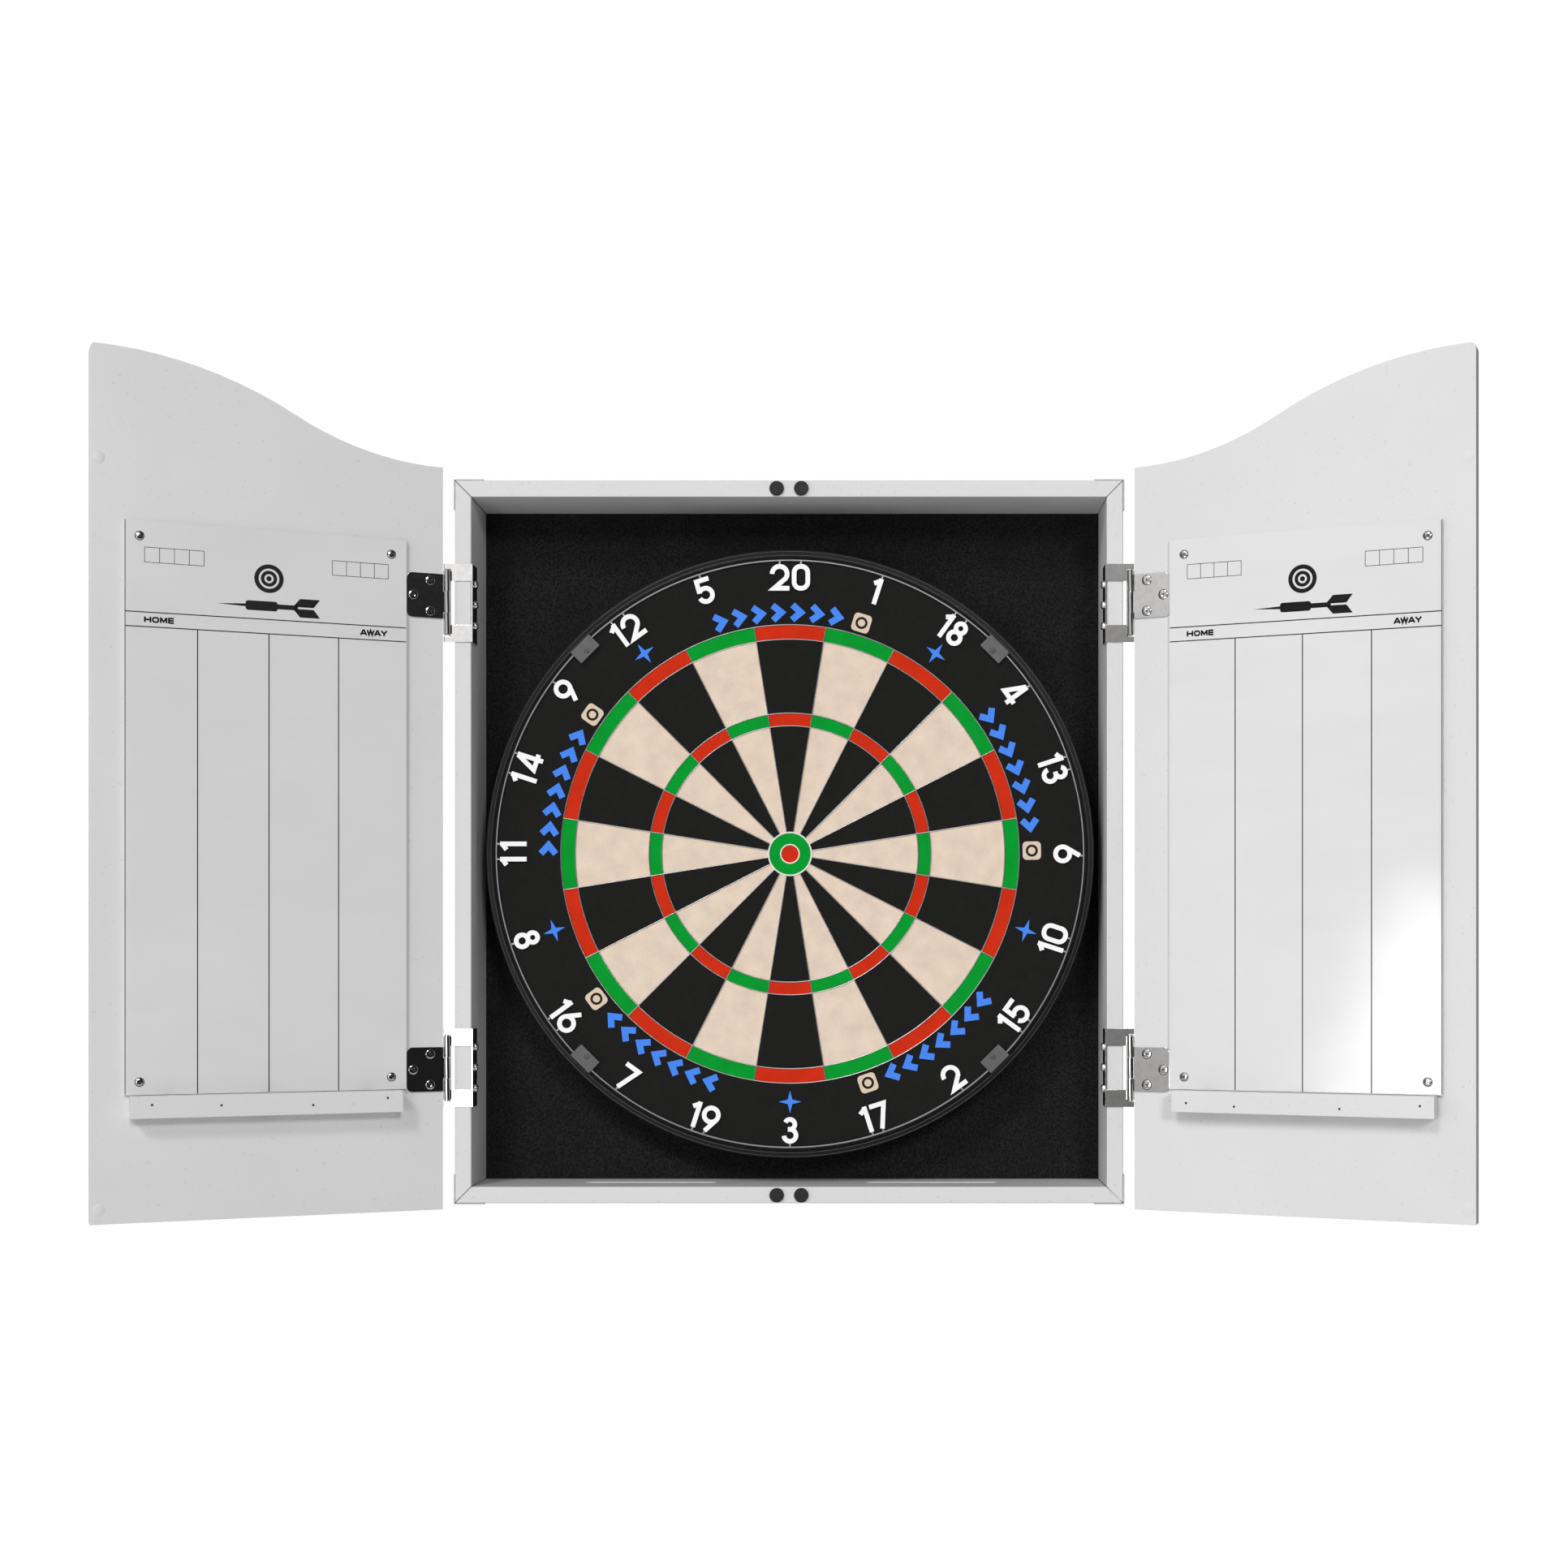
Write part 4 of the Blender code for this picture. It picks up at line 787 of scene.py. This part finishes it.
def make_strike_discs():
    bm = bmesh.new()
    lathe(bm, [(0.0, 0.00004), (0.0044, 0.00004), (0.0045, 0.0), (0.0, -0.0008)], 40)
    mesh = mesh_of(bm, "strike_disc")
    for side in SIDES:
        place = DOOR_FRAMES[side]
        face = box_in(f"{side}_door_panel", place)[1].z
        for level in ("top", "bottom"):
            low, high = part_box(f"magnet_catch_{level}_{side}")
            reach = abs(JOINTS[f"{side}_door_hinge"]["pos_m"][0]) - abs((low.x + high.x) / 2)
            a = reach if side == "right" else -reach
            spot = on_face(place, a, (low.z + high.z) / 2, face)
            piece(f"{side}_strike_disc_{level}", mesh, (LACQUER,), f"{side}_door", spot)


# ---------------------------------------------------------------- scoreboard printing

# Strokes of each letter in millimetres: (points, closed). Squeeze narrows the letters, advance is
# the step to the next one, and space is the blank that the step includes.
LETTERS = {
    "H": (
        ([(0.5, 0), (0.5, 3.9)], False),
        ([(4.7, 0), (4.7, 3.9)], False),
        ([(0.5, 1.95), (4.7, 1.95)], False),
    ),
    "O": ((rounded(0.5, 4.7, 0.45, 3.45, 1.2, 4), True),),
    "M": (
        ([(0.5, 0), (0.5, 3.9)], False),
        ([(4.9, 0), (4.9, 3.9)], False),
        ([(0.6, 3.6), (2.7, 0.9), (4.8, 3.6)], False),
    ),
    "E": (
        ([(0.5, 0), (0.5, 3.9)], False),
        ([(0.5, 0.4), (4.3, 0.4)], False),
        ([(0.5, 1.95), (4.3, 1.95)], False),
        ([(0.5, 3.5), (4.3, 3.5)], False),
    ),
    "A": (
        ([(0.2, 0), (2.3, 3.6), (2.9, 3.6), (5.0, 0)], False),
        ([(1.2, 1.2), (4.0, 1.2)], False),
    ),
    "W": (([(0.1, 3.9), (1.5, 0.4), (2.8, 3.6), (4.1, 0.4), (5.5, 3.9)], False),),
    "Y": (
        ([(0.2, 3.9), (2.5, 1.7), (4.8, 3.9)], False),
        ([(2.5, 0), (2.5, 1.8)], False),
    ),
}
LETTER_SQUEEZE = 0.87
LETTER_SPACE = 0.8
LETTER_ADVANCE = {"H": 6.0, "O": 6.0, "M": 6.2, "E": 5.0, "A": 5.5, "W": 5.9, "Y": 5.2}


def word(bm, text, left, base, low, high):
    for letter in text:
        for points, closed in LETTERS[letter]:
            placed = [(left + LETTER_SQUEEZE * a / 1000, base + b / 1000) for a, b in points]
            strip(bm, placed, closed, LETTER_HALF, low, high)
        left += LETTER_SQUEEZE * LETTER_ADVANCE[letter] / 1000


def word_width(text):
    advance = sum(LETTER_ADVANCE[letter] for letter in text)
    return LETTER_SQUEEZE * (advance - LETTER_SPACE) / 1000


def emblem(bm, centre, low, high):
    """A plain target above a dart that lies on its side."""
    a, b = centre
    for radius, half in ((0.0086, 0.0015), (0.0044, 0.0012)):
        strip(bm, circle((a, b), radius, 48), True, half, low, high)
    prism(bm, circle((a, b), 0.0018, 24), low, high)
    z = b - 0.0195
    prism(bm, [(a - 0.0354, z), (a - 0.0158, z + 0.0010), (a - 0.0158, z - 0.0010)], low, high)
    prism(bm, rounded(a - 0.0160, a + 0.0060, z - 0.0034, z + 0.0034, 0.0018), low, high)
    prism(bm, rounded(a + 0.0055, a + 0.0200, z - 0.0017, z + 0.0017, 0.0005), low, high)
    for sign in (-1, 1):
        flight = [(0.0165, 0.0007), (0.0215, 0.0066), (0.0354, 0.0066), (0.0310, 0.0007)]
        prism(bm, [(a + x, z + sign * y) for x, y in flight], low, high)


def make_score_printing():
    for side in SIDES:
        place = DOOR_FRAMES[side]
        box_low, box_high = box_in(f"{side}_scoreboard", place)
        left, right, upper = box_low.x, box_high.x, box_high.y
        low, high = box_high.z - PRINT_SINK, box_high.z + PRINT_RISE
        header, columns_top = upper - HEADER_DROP, upper - COLUMNS_DROP
        lines = bmesh.new()
        for z in (header, columns_top):
            bar(lines, (left + LINE_INSET, z), (right - LINE_INSET, z), RULE_HALF, low, high)
        for quarter in (1, 2, 3):
            a = left + (right - left) * quarter / 4
            bar(lines, (a, columns_top), (a, box_low.y + LINE_INSET), RULE_HALF, low, high)
        # Painted shadow: a dark line along the board's outer edge, for the shade of the gap at that
        # edge, drawn in the line ink
        outer = right - EDGE_SHADE_INSET if side == "right" else left + EDGE_SHADE_INSET
        edge = (outer, upper - EDGE_SHADE_STOP), (outer, box_low.y + EDGE_SHADE_STOP)
        bar(lines, *edge, EDGE_SHADE_HALF, low, high)
        width = TALLY_CELL * TALLY_CELLS
        tally_low, tally_high = (upper - drop for drop in TALLY_DROPS)
        for start in (left + TALLY_INSET, right - TALLY_INSET - width):
            for level in (tally_low, tally_high):
                bar(lines, (start, level), (start + width, level), TALLY_HALF, low, high)
            for k in range(TALLY_CELLS + 1):
                a = start + TALLY_CELL * k
                bar(lines, (a, tally_low), (a, tally_high), TALLY_HALF, low, high)
        mesh = mesh_of(lines, f"{side}_score_lines")
        piece(f"{side}_score_lines", mesh, (LINE_INK_AND_EDGE_SHADE,), f"{side}_door", place)
        words = bmesh.new()
        base = (header + columns_top - LETTER_HEIGHT) / 2
        word(words, "HOME", left + HOME_INSET, base, low, high)
        word(words, "AWAY", right - AWAY_INSET - word_width("AWAY"), base, low, high)
        emblem(words, ((left + right) / 2, upper - EMBLEM_DROP), low, high)
        mesh = mesh_of(words, f"{side}_score_words")
        piece(f"{side}_score_words", mesh, (INK_BLACK,), f"{side}_door", place)


# ---------------------------------------------------------------- dart board


def make_sisal():
    """The sisal bed. Each scoring bed is its own run of faces, in its own colour."""
    bm = bmesh.new()
    low, high = box_in("sisal_board", BOARD_FRAME)
    rim = box_in("steel_band", BOARD_FRAME)[1].x - BAND_THICK - BAND_LIP - GAP
    steps = SECTORS * SECTOR_STEPS
    start = 90.0 + 180.0 / SECTORS
    radii = [(radius, 0.0) for radius in (INNER_BULL, OUTER_BULL, *TREBLE, *DOUBLE, rim)]
    radii += [(rim, -BED_STEP), (high.x, -BED_STEP), (high.x, low.z)]
    loops = []
    for radius, z in radii:
        outline = arc((0.0, 0.0), radius, start, start - 360.0, steps)[:-1]
        loops.append([bm.verts.new((a, b, z)) for a, b in outline])
    black, cream, red, green = range(4)
    bull = bm.verts.new((0.0, 0.0, 0.0))
    back = bm.verts.new((0.0, 0.0, low.z))
    for i in range(steps):
        j = (i + 1) % steps
        bm.faces.new((bull, loops[0][i], loops[0][j])).material_index = red
        bm.faces.new((back, loops[-1][j], loops[-1][i])).material_index = black
        even = (i // SECTOR_STEPS) % 2 == 0
        single = black if even else cream
        ring = red if even else green
        colours = (green, single, ring, single, ring) + (black,) * 4
        for colour, inner, outer in zip(colours, loops, loops[1:]):
            bm.faces.new((inner[i], outer[i], outer[j], inner[j])).material_index = colour
    mesh = mesh_of(bm, "sisal_beds")
    beds = (BLACK_BED, CREAM_BED, RED_BED, GREEN_BED)
    obj = piece("sisal_beds", mesh, beds, "dart_board", BOARD_FRAME)
    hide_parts("sisal_board")


def wire_section(half, height, sides=8):
    """Half-round section of a wire set in the fibre: (offset, z)."""
    points = []
    for i in range(sides + 1):
        angle = math.pi * i / sides
        points.append((half * math.cos(angle), height * math.sin(angle)))
    return points + [(-half, -0.0002), (half, -0.0002)]


def make_spider():
    bm = bmesh.new()
    section = wire_section(*SPIDER_WIRE)
    for radius in (*DOUBLE, *TREBLE):
        lathe(bm, [(radius + offset, z) for offset, z in section], RING_STEPS)
    for k in range(SECTORS):
        angle = math.radians(90 + 360 / SECTORS * (k + 0.5))
        along = Vector((math.cos(angle), math.sin(angle), 0.0))
        across = Vector((-along.y, along.x, 0.0))
        ends = []
        for reach in (OUTER_BULL, DOUBLE[1]):
            start = along * reach
            spots = [start + across * offset + Vector((0.0, 0.0, z)) for offset, z in section]
            ends.append([bm.verts.new(spot) for spot in spots])
        bridge(bm, *ends)
        bm.faces.new(ends[0])
        bm.faces.new(ends[1])
    mesh = mesh_of(bm, "spider_wires")
    obj = piece("spider_wires", mesh, (WIRE,), "dart_board", BOARD_FRAME)
    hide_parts("wire_spider")


def make_bull_rings():
    bm = bmesh.new()
    for radius, wire in ((OUTER_BULL, OUTER_BULL_WIRE), (INNER_BULL + 0.0002, INNER_BULL_WIRE)):
        lathe(bm, [(radius + offset, z) for offset, z in wire_section(*wire)], 96)
    mesh = mesh_of(bm, "bull_rings")
    obj = piece("bull_rings", mesh, (BULL_WIRE,), "dart_board", BOARD_FRAME)
    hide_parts("bull_ring")


def make_band():
    """The black steel band, rolled over the front edge with a small round."""
    low, high = box_in("steel_band", BOARD_FRAME)
    outer, back = high.x, low.z
    inner, wall = outer - BAND_THICK - BAND_LIP, outer - BAND_THICK
    profile = [(outer, back), (outer, -0.0007), (outer - 0.0001, -0.00045)]
    profile += [(outer - 0.0005, -0.00035), (outer - 0.0007, -0.0006), (inner + 0.0012, -0.0006)]
    profile += [(inner + 0.0009, -0.0001), (inner + 0.0002, 0.0), (inner, -0.0002)]
    profile += [(inner, -0.0008), (wall, -0.0010), (wall, back)]
    bm = bmesh.new()
    lathe(bm, profile, RING_STEPS)
    mesh = mesh_of(bm, "edge_band")
    obj = piece("edge_band", mesh, (BAND,), "dart_board", BOARD_FRAME)
    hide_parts("steel_band")
    # Painted highlight: two thin ridges in a grey metal, lighter than the black band, stand for the
    # bright lines along its rolled edges
    highlight_lips = bmesh.new()
    for radius in (outer - 0.0010, inner + 0.0015):
        section = [(radius + a, z - 0.0006) for a, z in wire_section(0.00016, 0.00022)]
        lathe(highlight_lips, section, RING_STEPS)
    mesh = mesh_of(highlight_lips, "band_highlight_lips")
    piece("band_highlight_lips", mesh, (LIP_HIGHLIGHT,), "dart_board", BOARD_FRAME)


def digit_strokes(digit):
    """Centrelines of one digit's strokes in millimetres from its lower left corner: (points, closed)."""
    height = DIGIT_HEIGHT * 1000
    half = STROKE * 500
    width = DIGIT_WIDTHS[digit]
    top, low, right = height - half, half, width - half
    bowl = width / 2 - half

    def bend(centre, radius, start, end):
        return arc(centre, radius, start, end, round(abs(math.radians(end - start)) / DIGIT_ARC))

    if digit == 0:
        return [(rounded(half, right, low, top, 4.6, 8), True)]
    if digit == 1:
        return [([(right, 0), (right, height)], False), ([(right, 18.0), (0.9, 14.9)], False)]
    if digit == 2:
        return [(bend((width / 2, top - bowl), bowl, 180, -38) + [(3.2, low), (width, low)], False)]
    if digit == 3:
        upper = bend((6.1, 14.25), 3.65, 155, -90) + [(4.6, 10.6)]
        lower = [(4.6, 10.6)] + bend((6.15, 6.15), 4.45, 90, -175)
        return [(upper, False), (lower, False)]
    if digit == 4:
        return [([(10.3, 19.2), (2.9, 4.6), (width, 4.6)], False), ([(10.9, 0), (10.9, height)], False)]
    if digit == 5:
        flag = [(12.3, top), (2.9, top), (2.6, 9.0)]
        return [(flag, False), (bend((width / 2, low + bowl), bowl, 145, -165), False)]
    if digit == 7:
        return [([(0, top), (11.2, top), (4.6, 0)], False)]
    if digit == 8:
        loops = (circle((width / 2, 14.3), 3.6, 40), circle((width / 2, 6.1), 4.4, 40))
        return [(loop, True) for loop in loops]
    lean = math.radians(30)
    touch = (width / 2 - bowl * math.cos(lean), width / 2 + bowl * math.sin(lean))
    run = (height - touch[1]) / math.cos(lean)
    tail = [touch, (touch[0] + run * math.sin(lean), height)]
    six = [(circle((width / 2, width / 2), bowl, 40), True), (tail, False)]
    if digit == 6:
        return six
    return [([(width - a, height - b) for a, b in points], closed) for points, closed in six]


def number_layout(number):
    """Each digit of a number with the x of its left side, in metres, the whole number centred."""
    text = str(number)
    gap = WIDE_GAPS.get(text, DIGIT_GAP)
    widths = [DIGIT_WIDTHS[int(c)] / 1000 for c in text]
    x = -(sum(widths) + gap * (len(text) - 1)) / 2
    places = []
    for c, width in zip(text, widths):
        places.append((int(c), x))
        x += width + gap
    return places


def tie_offset(digit, inverted):
    """Where a digit's tie to the ring stands, in millimetres from the digit's left side."""
    upright = {1: 5.2, 4: 10.9, 6: 8.2, 7: 6.6}
    flipped = {1: 5.2, 2: 8.0, 6: 6.9, 7: 4.8, 9: 5.6}
    return (flipped if inverted else upright).get(digit, DIGIT_WIDTHS[digit] / 2)


def make_number_ring():
    mid = GAP + RING_WIRE
    wire = bmesh.new()
    section = [(RING_RADIUS + a, mid + z) for a, z in circle((0.0, 0.0), RING_WIRE, 10)]
    lathe(wire, section, RING_STEPS)
    digits, grain = bmesh.new(), bmesh.new()
    lowest, highest = mid - DIGIT_THICK / 2, mid + DIGIT_THICK / 2
    for index, number in enumerate(NUMBERS):
        turn = 2 * math.pi * index / SECTORS
        inverted = FIRST_INVERTED <= index <= LAST_INVERTED
        flip = -1 if inverted else 1
        base = DIGIT_TOP if inverted else DIGIT_TOP - DIGIT_HEIGHT

        def spot(x, r, turn=turn):
            return (x * math.cos(turn) + r * math.sin(turn), r * math.cos(turn) - x * math.sin(turn))

        for digit, left in number_layout(number):
            for points, closed in digit_strokes(digit):
                centreline = [((left + a / 1000) * flip, base + b / 1000 * flip) for a, b in points]
                placed = [spot(x, r) for x, r in centreline]
                strip(digits, placed, closed, STROKE / 2, lowest, highest)
            x = (left + tie_offset(digit, inverted) / 1000) * flip
            ends = [spot(x, DIGIT_TOP - TIE_OVERLAP), spot(x, math.sqrt(RING_RADIUS**2 - x**2))]
            bar(wire, *ends, TIE_WIDTH / 2, mid - TIE_THICK / 2, mid + TIE_THICK / 2)
    # The join takes two meshes, so the second is a grain hidden inside the ring's wire
    prism(grain, circle((0.0, RING_RADIUS), 0.0004, 6), mid - 0.0002, mid + 0.0002)
    mesh = joined("board_numbers", mesh_of(digits, "digits"), mesh_of(grain, "grain"))
    obj = piece("board_numbers", mesh, (NUMBER_WHITE,), "dart_board", BOARD_FRAME)
    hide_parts("number_ring")
    mesh = mesh_of(wire, "number_wire")
    piece("number_wire", mesh, (RING_GREY,), "dart_board", BOARD_FRAME)


def make_board_printing():
    """Plain marks between the beds and the numbers: five runs of chevrons, badges and stars."""
    low, high = -0.0001, 0.00012
    blue, beige, black = bmesh.new(), bmesh.new(), bmesh.new()
    for k in range(FIFTHS):
        origin = 360.0 / FIFTHS * k

        def spot(x, r, degrees, origin=origin):
            t = math.radians(origin + degrees)
            return (x * math.cos(t) + r * math.sin(t), r * math.cos(t) - x * math.sin(t))

        for i in range(CHEVRONS):
            bend = [spot(x, r, CHEVRON_START + CHEVRON_STEP * i) for x, r in CHEVRON]
            strip(blue, bend, False, CHEVRON_HALF, low, high)
        outline = rounded(-0.0068, 0.0068, BADGE_RADIUS - 0.0068, BADGE_RADIUS + 0.0068, 0.0030)
        prism(beige, [spot(x, r, BADGE_ANGLE) for x, r in outline], low, high)
        ring = [spot(x, r, BADGE_ANGLE) for x, r in circle((0.0, BADGE_RADIUS), 0.0036, 32)]
        strip(black, ring, True, 0.0009, low, high + 0.00004)
        star = []
        for point in range(8):
            reach, turn = STAR_REACH[point % 2], math.pi * point / 4
            x, r = reach * math.sin(turn), STAR_RADIUS + reach * math.cos(turn)
            star.append(spot(x, r, STAR_ANGLE))
        prism(blue, star, low, high)
    inks = {"blue": (blue, INK_BLUE), "beige": (beige, INK_BEIGE), "black": (black, INK_BLACK)}
    for name, (bm, material) in inks.items():
        mesh = mesh_of(bm, f"board_marks_{name}")
        piece(f"board_marks_{name}", mesh, (material,), "dart_board", BOARD_FRAME)


# ---------------------------------------------------------------- camera, light and floor


def make_camera():
    data = bpy.data.cameras.new("camera")
    data.lens = CAMERA_LENS
    data.shift_x, data.shift_y = CAMERA_SHIFT
    data.clip_start = 0.05
    camera = bpy.data.objects.new("camera", data)
    camera.location = CAMERA_PLACE
    camera.rotation_euler = (math.pi / 2, 0.0, 0.0)
    bpy.context.scene.collection.objects.link(camera)
    bpy.context.scene.camera = camera


def make_light(name, place, target, size, power, roll=0.0):
    data = bpy.data.lights.new(name, "AREA")
    data.shape = "RECTANGLE"
    data.size, data.size_y = size
    data.energy = power
    lamp = bpy.data.objects.new(name, data)
    lamp.location = place
    aim = (Vector(target) - Vector(place)).to_track_quat("-Z", "Y")
    lamp.rotation_euler = (aim @ Quaternion((0.0, 0.0, 1.0), math.radians(roll))).to_euler()
    bpy.context.scene.collection.objects.link(lamp)


def make_lights():
    make_light("key_left", (-2.50, -6.10, 4.50), (0.0, -0.05, 0.0), (1.4, 1.4), 185.0)
    make_light("fill_right", (2.10, -7.25, 2.70), (0.0, -0.05, 0.0), (1.4, 1.4), 208.0)
    make_light("gloss_card", (-0.71, -2.03, -0.25), (0.42, -0.15, -0.12), (0.37, 0.52), 4.9, -20.0)


def sky(tree, place, stops, heights, low, high):
    """A background that varies from left to right by its stops.

    Its strength goes from low to high between the two heights.
    """
    parts = tree.nodes.new("ShaderNodeSeparateXYZ")
    tree.links.new(place.outputs["Generated"], parts.inputs[0])
    sideways = tree.nodes.new("ShaderNodeMapRange")
    upward = tree.nodes.new("ShaderNodeMapRange")
    ranges = ((sideways, "X", (-1.0, 1.0, 0.0, 1.0)), (upward, "Z", (*heights, low, high)))
    for node, output, ends in ranges:
        for socket, value in zip(("From Min", "From Max", "To Min", "To Max"), ends):
            node.inputs[socket].default_value = value
        tree.links.new(parts.outputs[output], node.inputs["Value"])
    ramp = tree.nodes.new("ShaderNodeValToRGB")
    for position, value in stops[1:-1]:
        ramp.color_ramp.elements.new(position)
    for element, (position, value) in zip(ramp.color_ramp.elements, stops):
        element.position = position
        element.color = (value, value, value, 1.0)
    tree.links.new(sideways.outputs["Result"], ramp.inputs["Fac"])
    made = tree.nodes.new("ShaderNodeBackground")
    tree.links.new(ramp.outputs["Color"], made.inputs["Color"])
    tree.links.new(upward.outputs["Result"], made.inputs["Strength"])
    return made.outputs["Background"]


def make_world():
    """White to the eye. Soft light comes mostly from the left, and metal mirrors a dark right."""
    world = bpy.data.worlds.new("studio")
    world.use_nodes = True
    tree = world.node_tree
    tree.nodes.clear()
    place = tree.nodes.new("ShaderNodeTexCoord")
    soft = sky(tree, place, SOFT_STOPS, (-1.0, 1.0), 0.85, 1.15)
    mirrored = sky(tree, place, MIRROR_STOPS, (-0.45, 0.45), 0.10, 2.05)
    white = tree.nodes.new("ShaderNodeBackground")
    white.inputs["Color"].default_value = (1.0, 1.0, 1.0, 1.0)
    paths = tree.nodes.new("ShaderNodeLightPath")
    light = tree.nodes.new("ShaderNodeMixShader")
    tree.links.new(paths.outputs["Is Glossy Ray"], light.inputs["Fac"])
    tree.links.new(soft, light.inputs[1])
    tree.links.new(mirrored, light.inputs[2])
    seen = tree.nodes.new("ShaderNodeMixShader")
    tree.links.new(paths.outputs["Is Camera Ray"], seen.inputs["Fac"])
    tree.links.new(light.outputs["Shader"], seen.inputs[1])
    tree.links.new(white.outputs["Background"], seen.inputs[2])
    result = tree.nodes.new("ShaderNodeOutputWorld")
    tree.links.new(seen.outputs["Shader"], result.inputs["Surface"])
    bpy.context.scene.world = world
    bpy.context.scene.view_settings.view_transform = "Standard"


def make_floor():
    """A plain pale floor, well below a cabinet hung on a wall."""
    bm = bmesh.new()
    level = cad_box[0].z - FLOOR_DROP
    prism(bm, FLOOR_OUTLINE, level - FLOOR_THICK, level)
    floor = bpy.data.objects.new("floor", mesh_of(bm, "floor"))
    floor.data.materials.append(lacquer("floor_paint", (0.80, 0.80, 0.80), (0.7, 0.8)))
    bpy.context.scene.collection.objects.link(floor)


make_camera()
make_lights()
make_world()
make_floor()
dress_model()
make_score_screws()
make_hinge_screws()
make_clip_screws()
make_rail_nails()
make_strike_discs()
make_score_printing()
make_sisal()
make_spider()
make_bull_rings()
make_band()
make_number_ring()
make_board_printing()
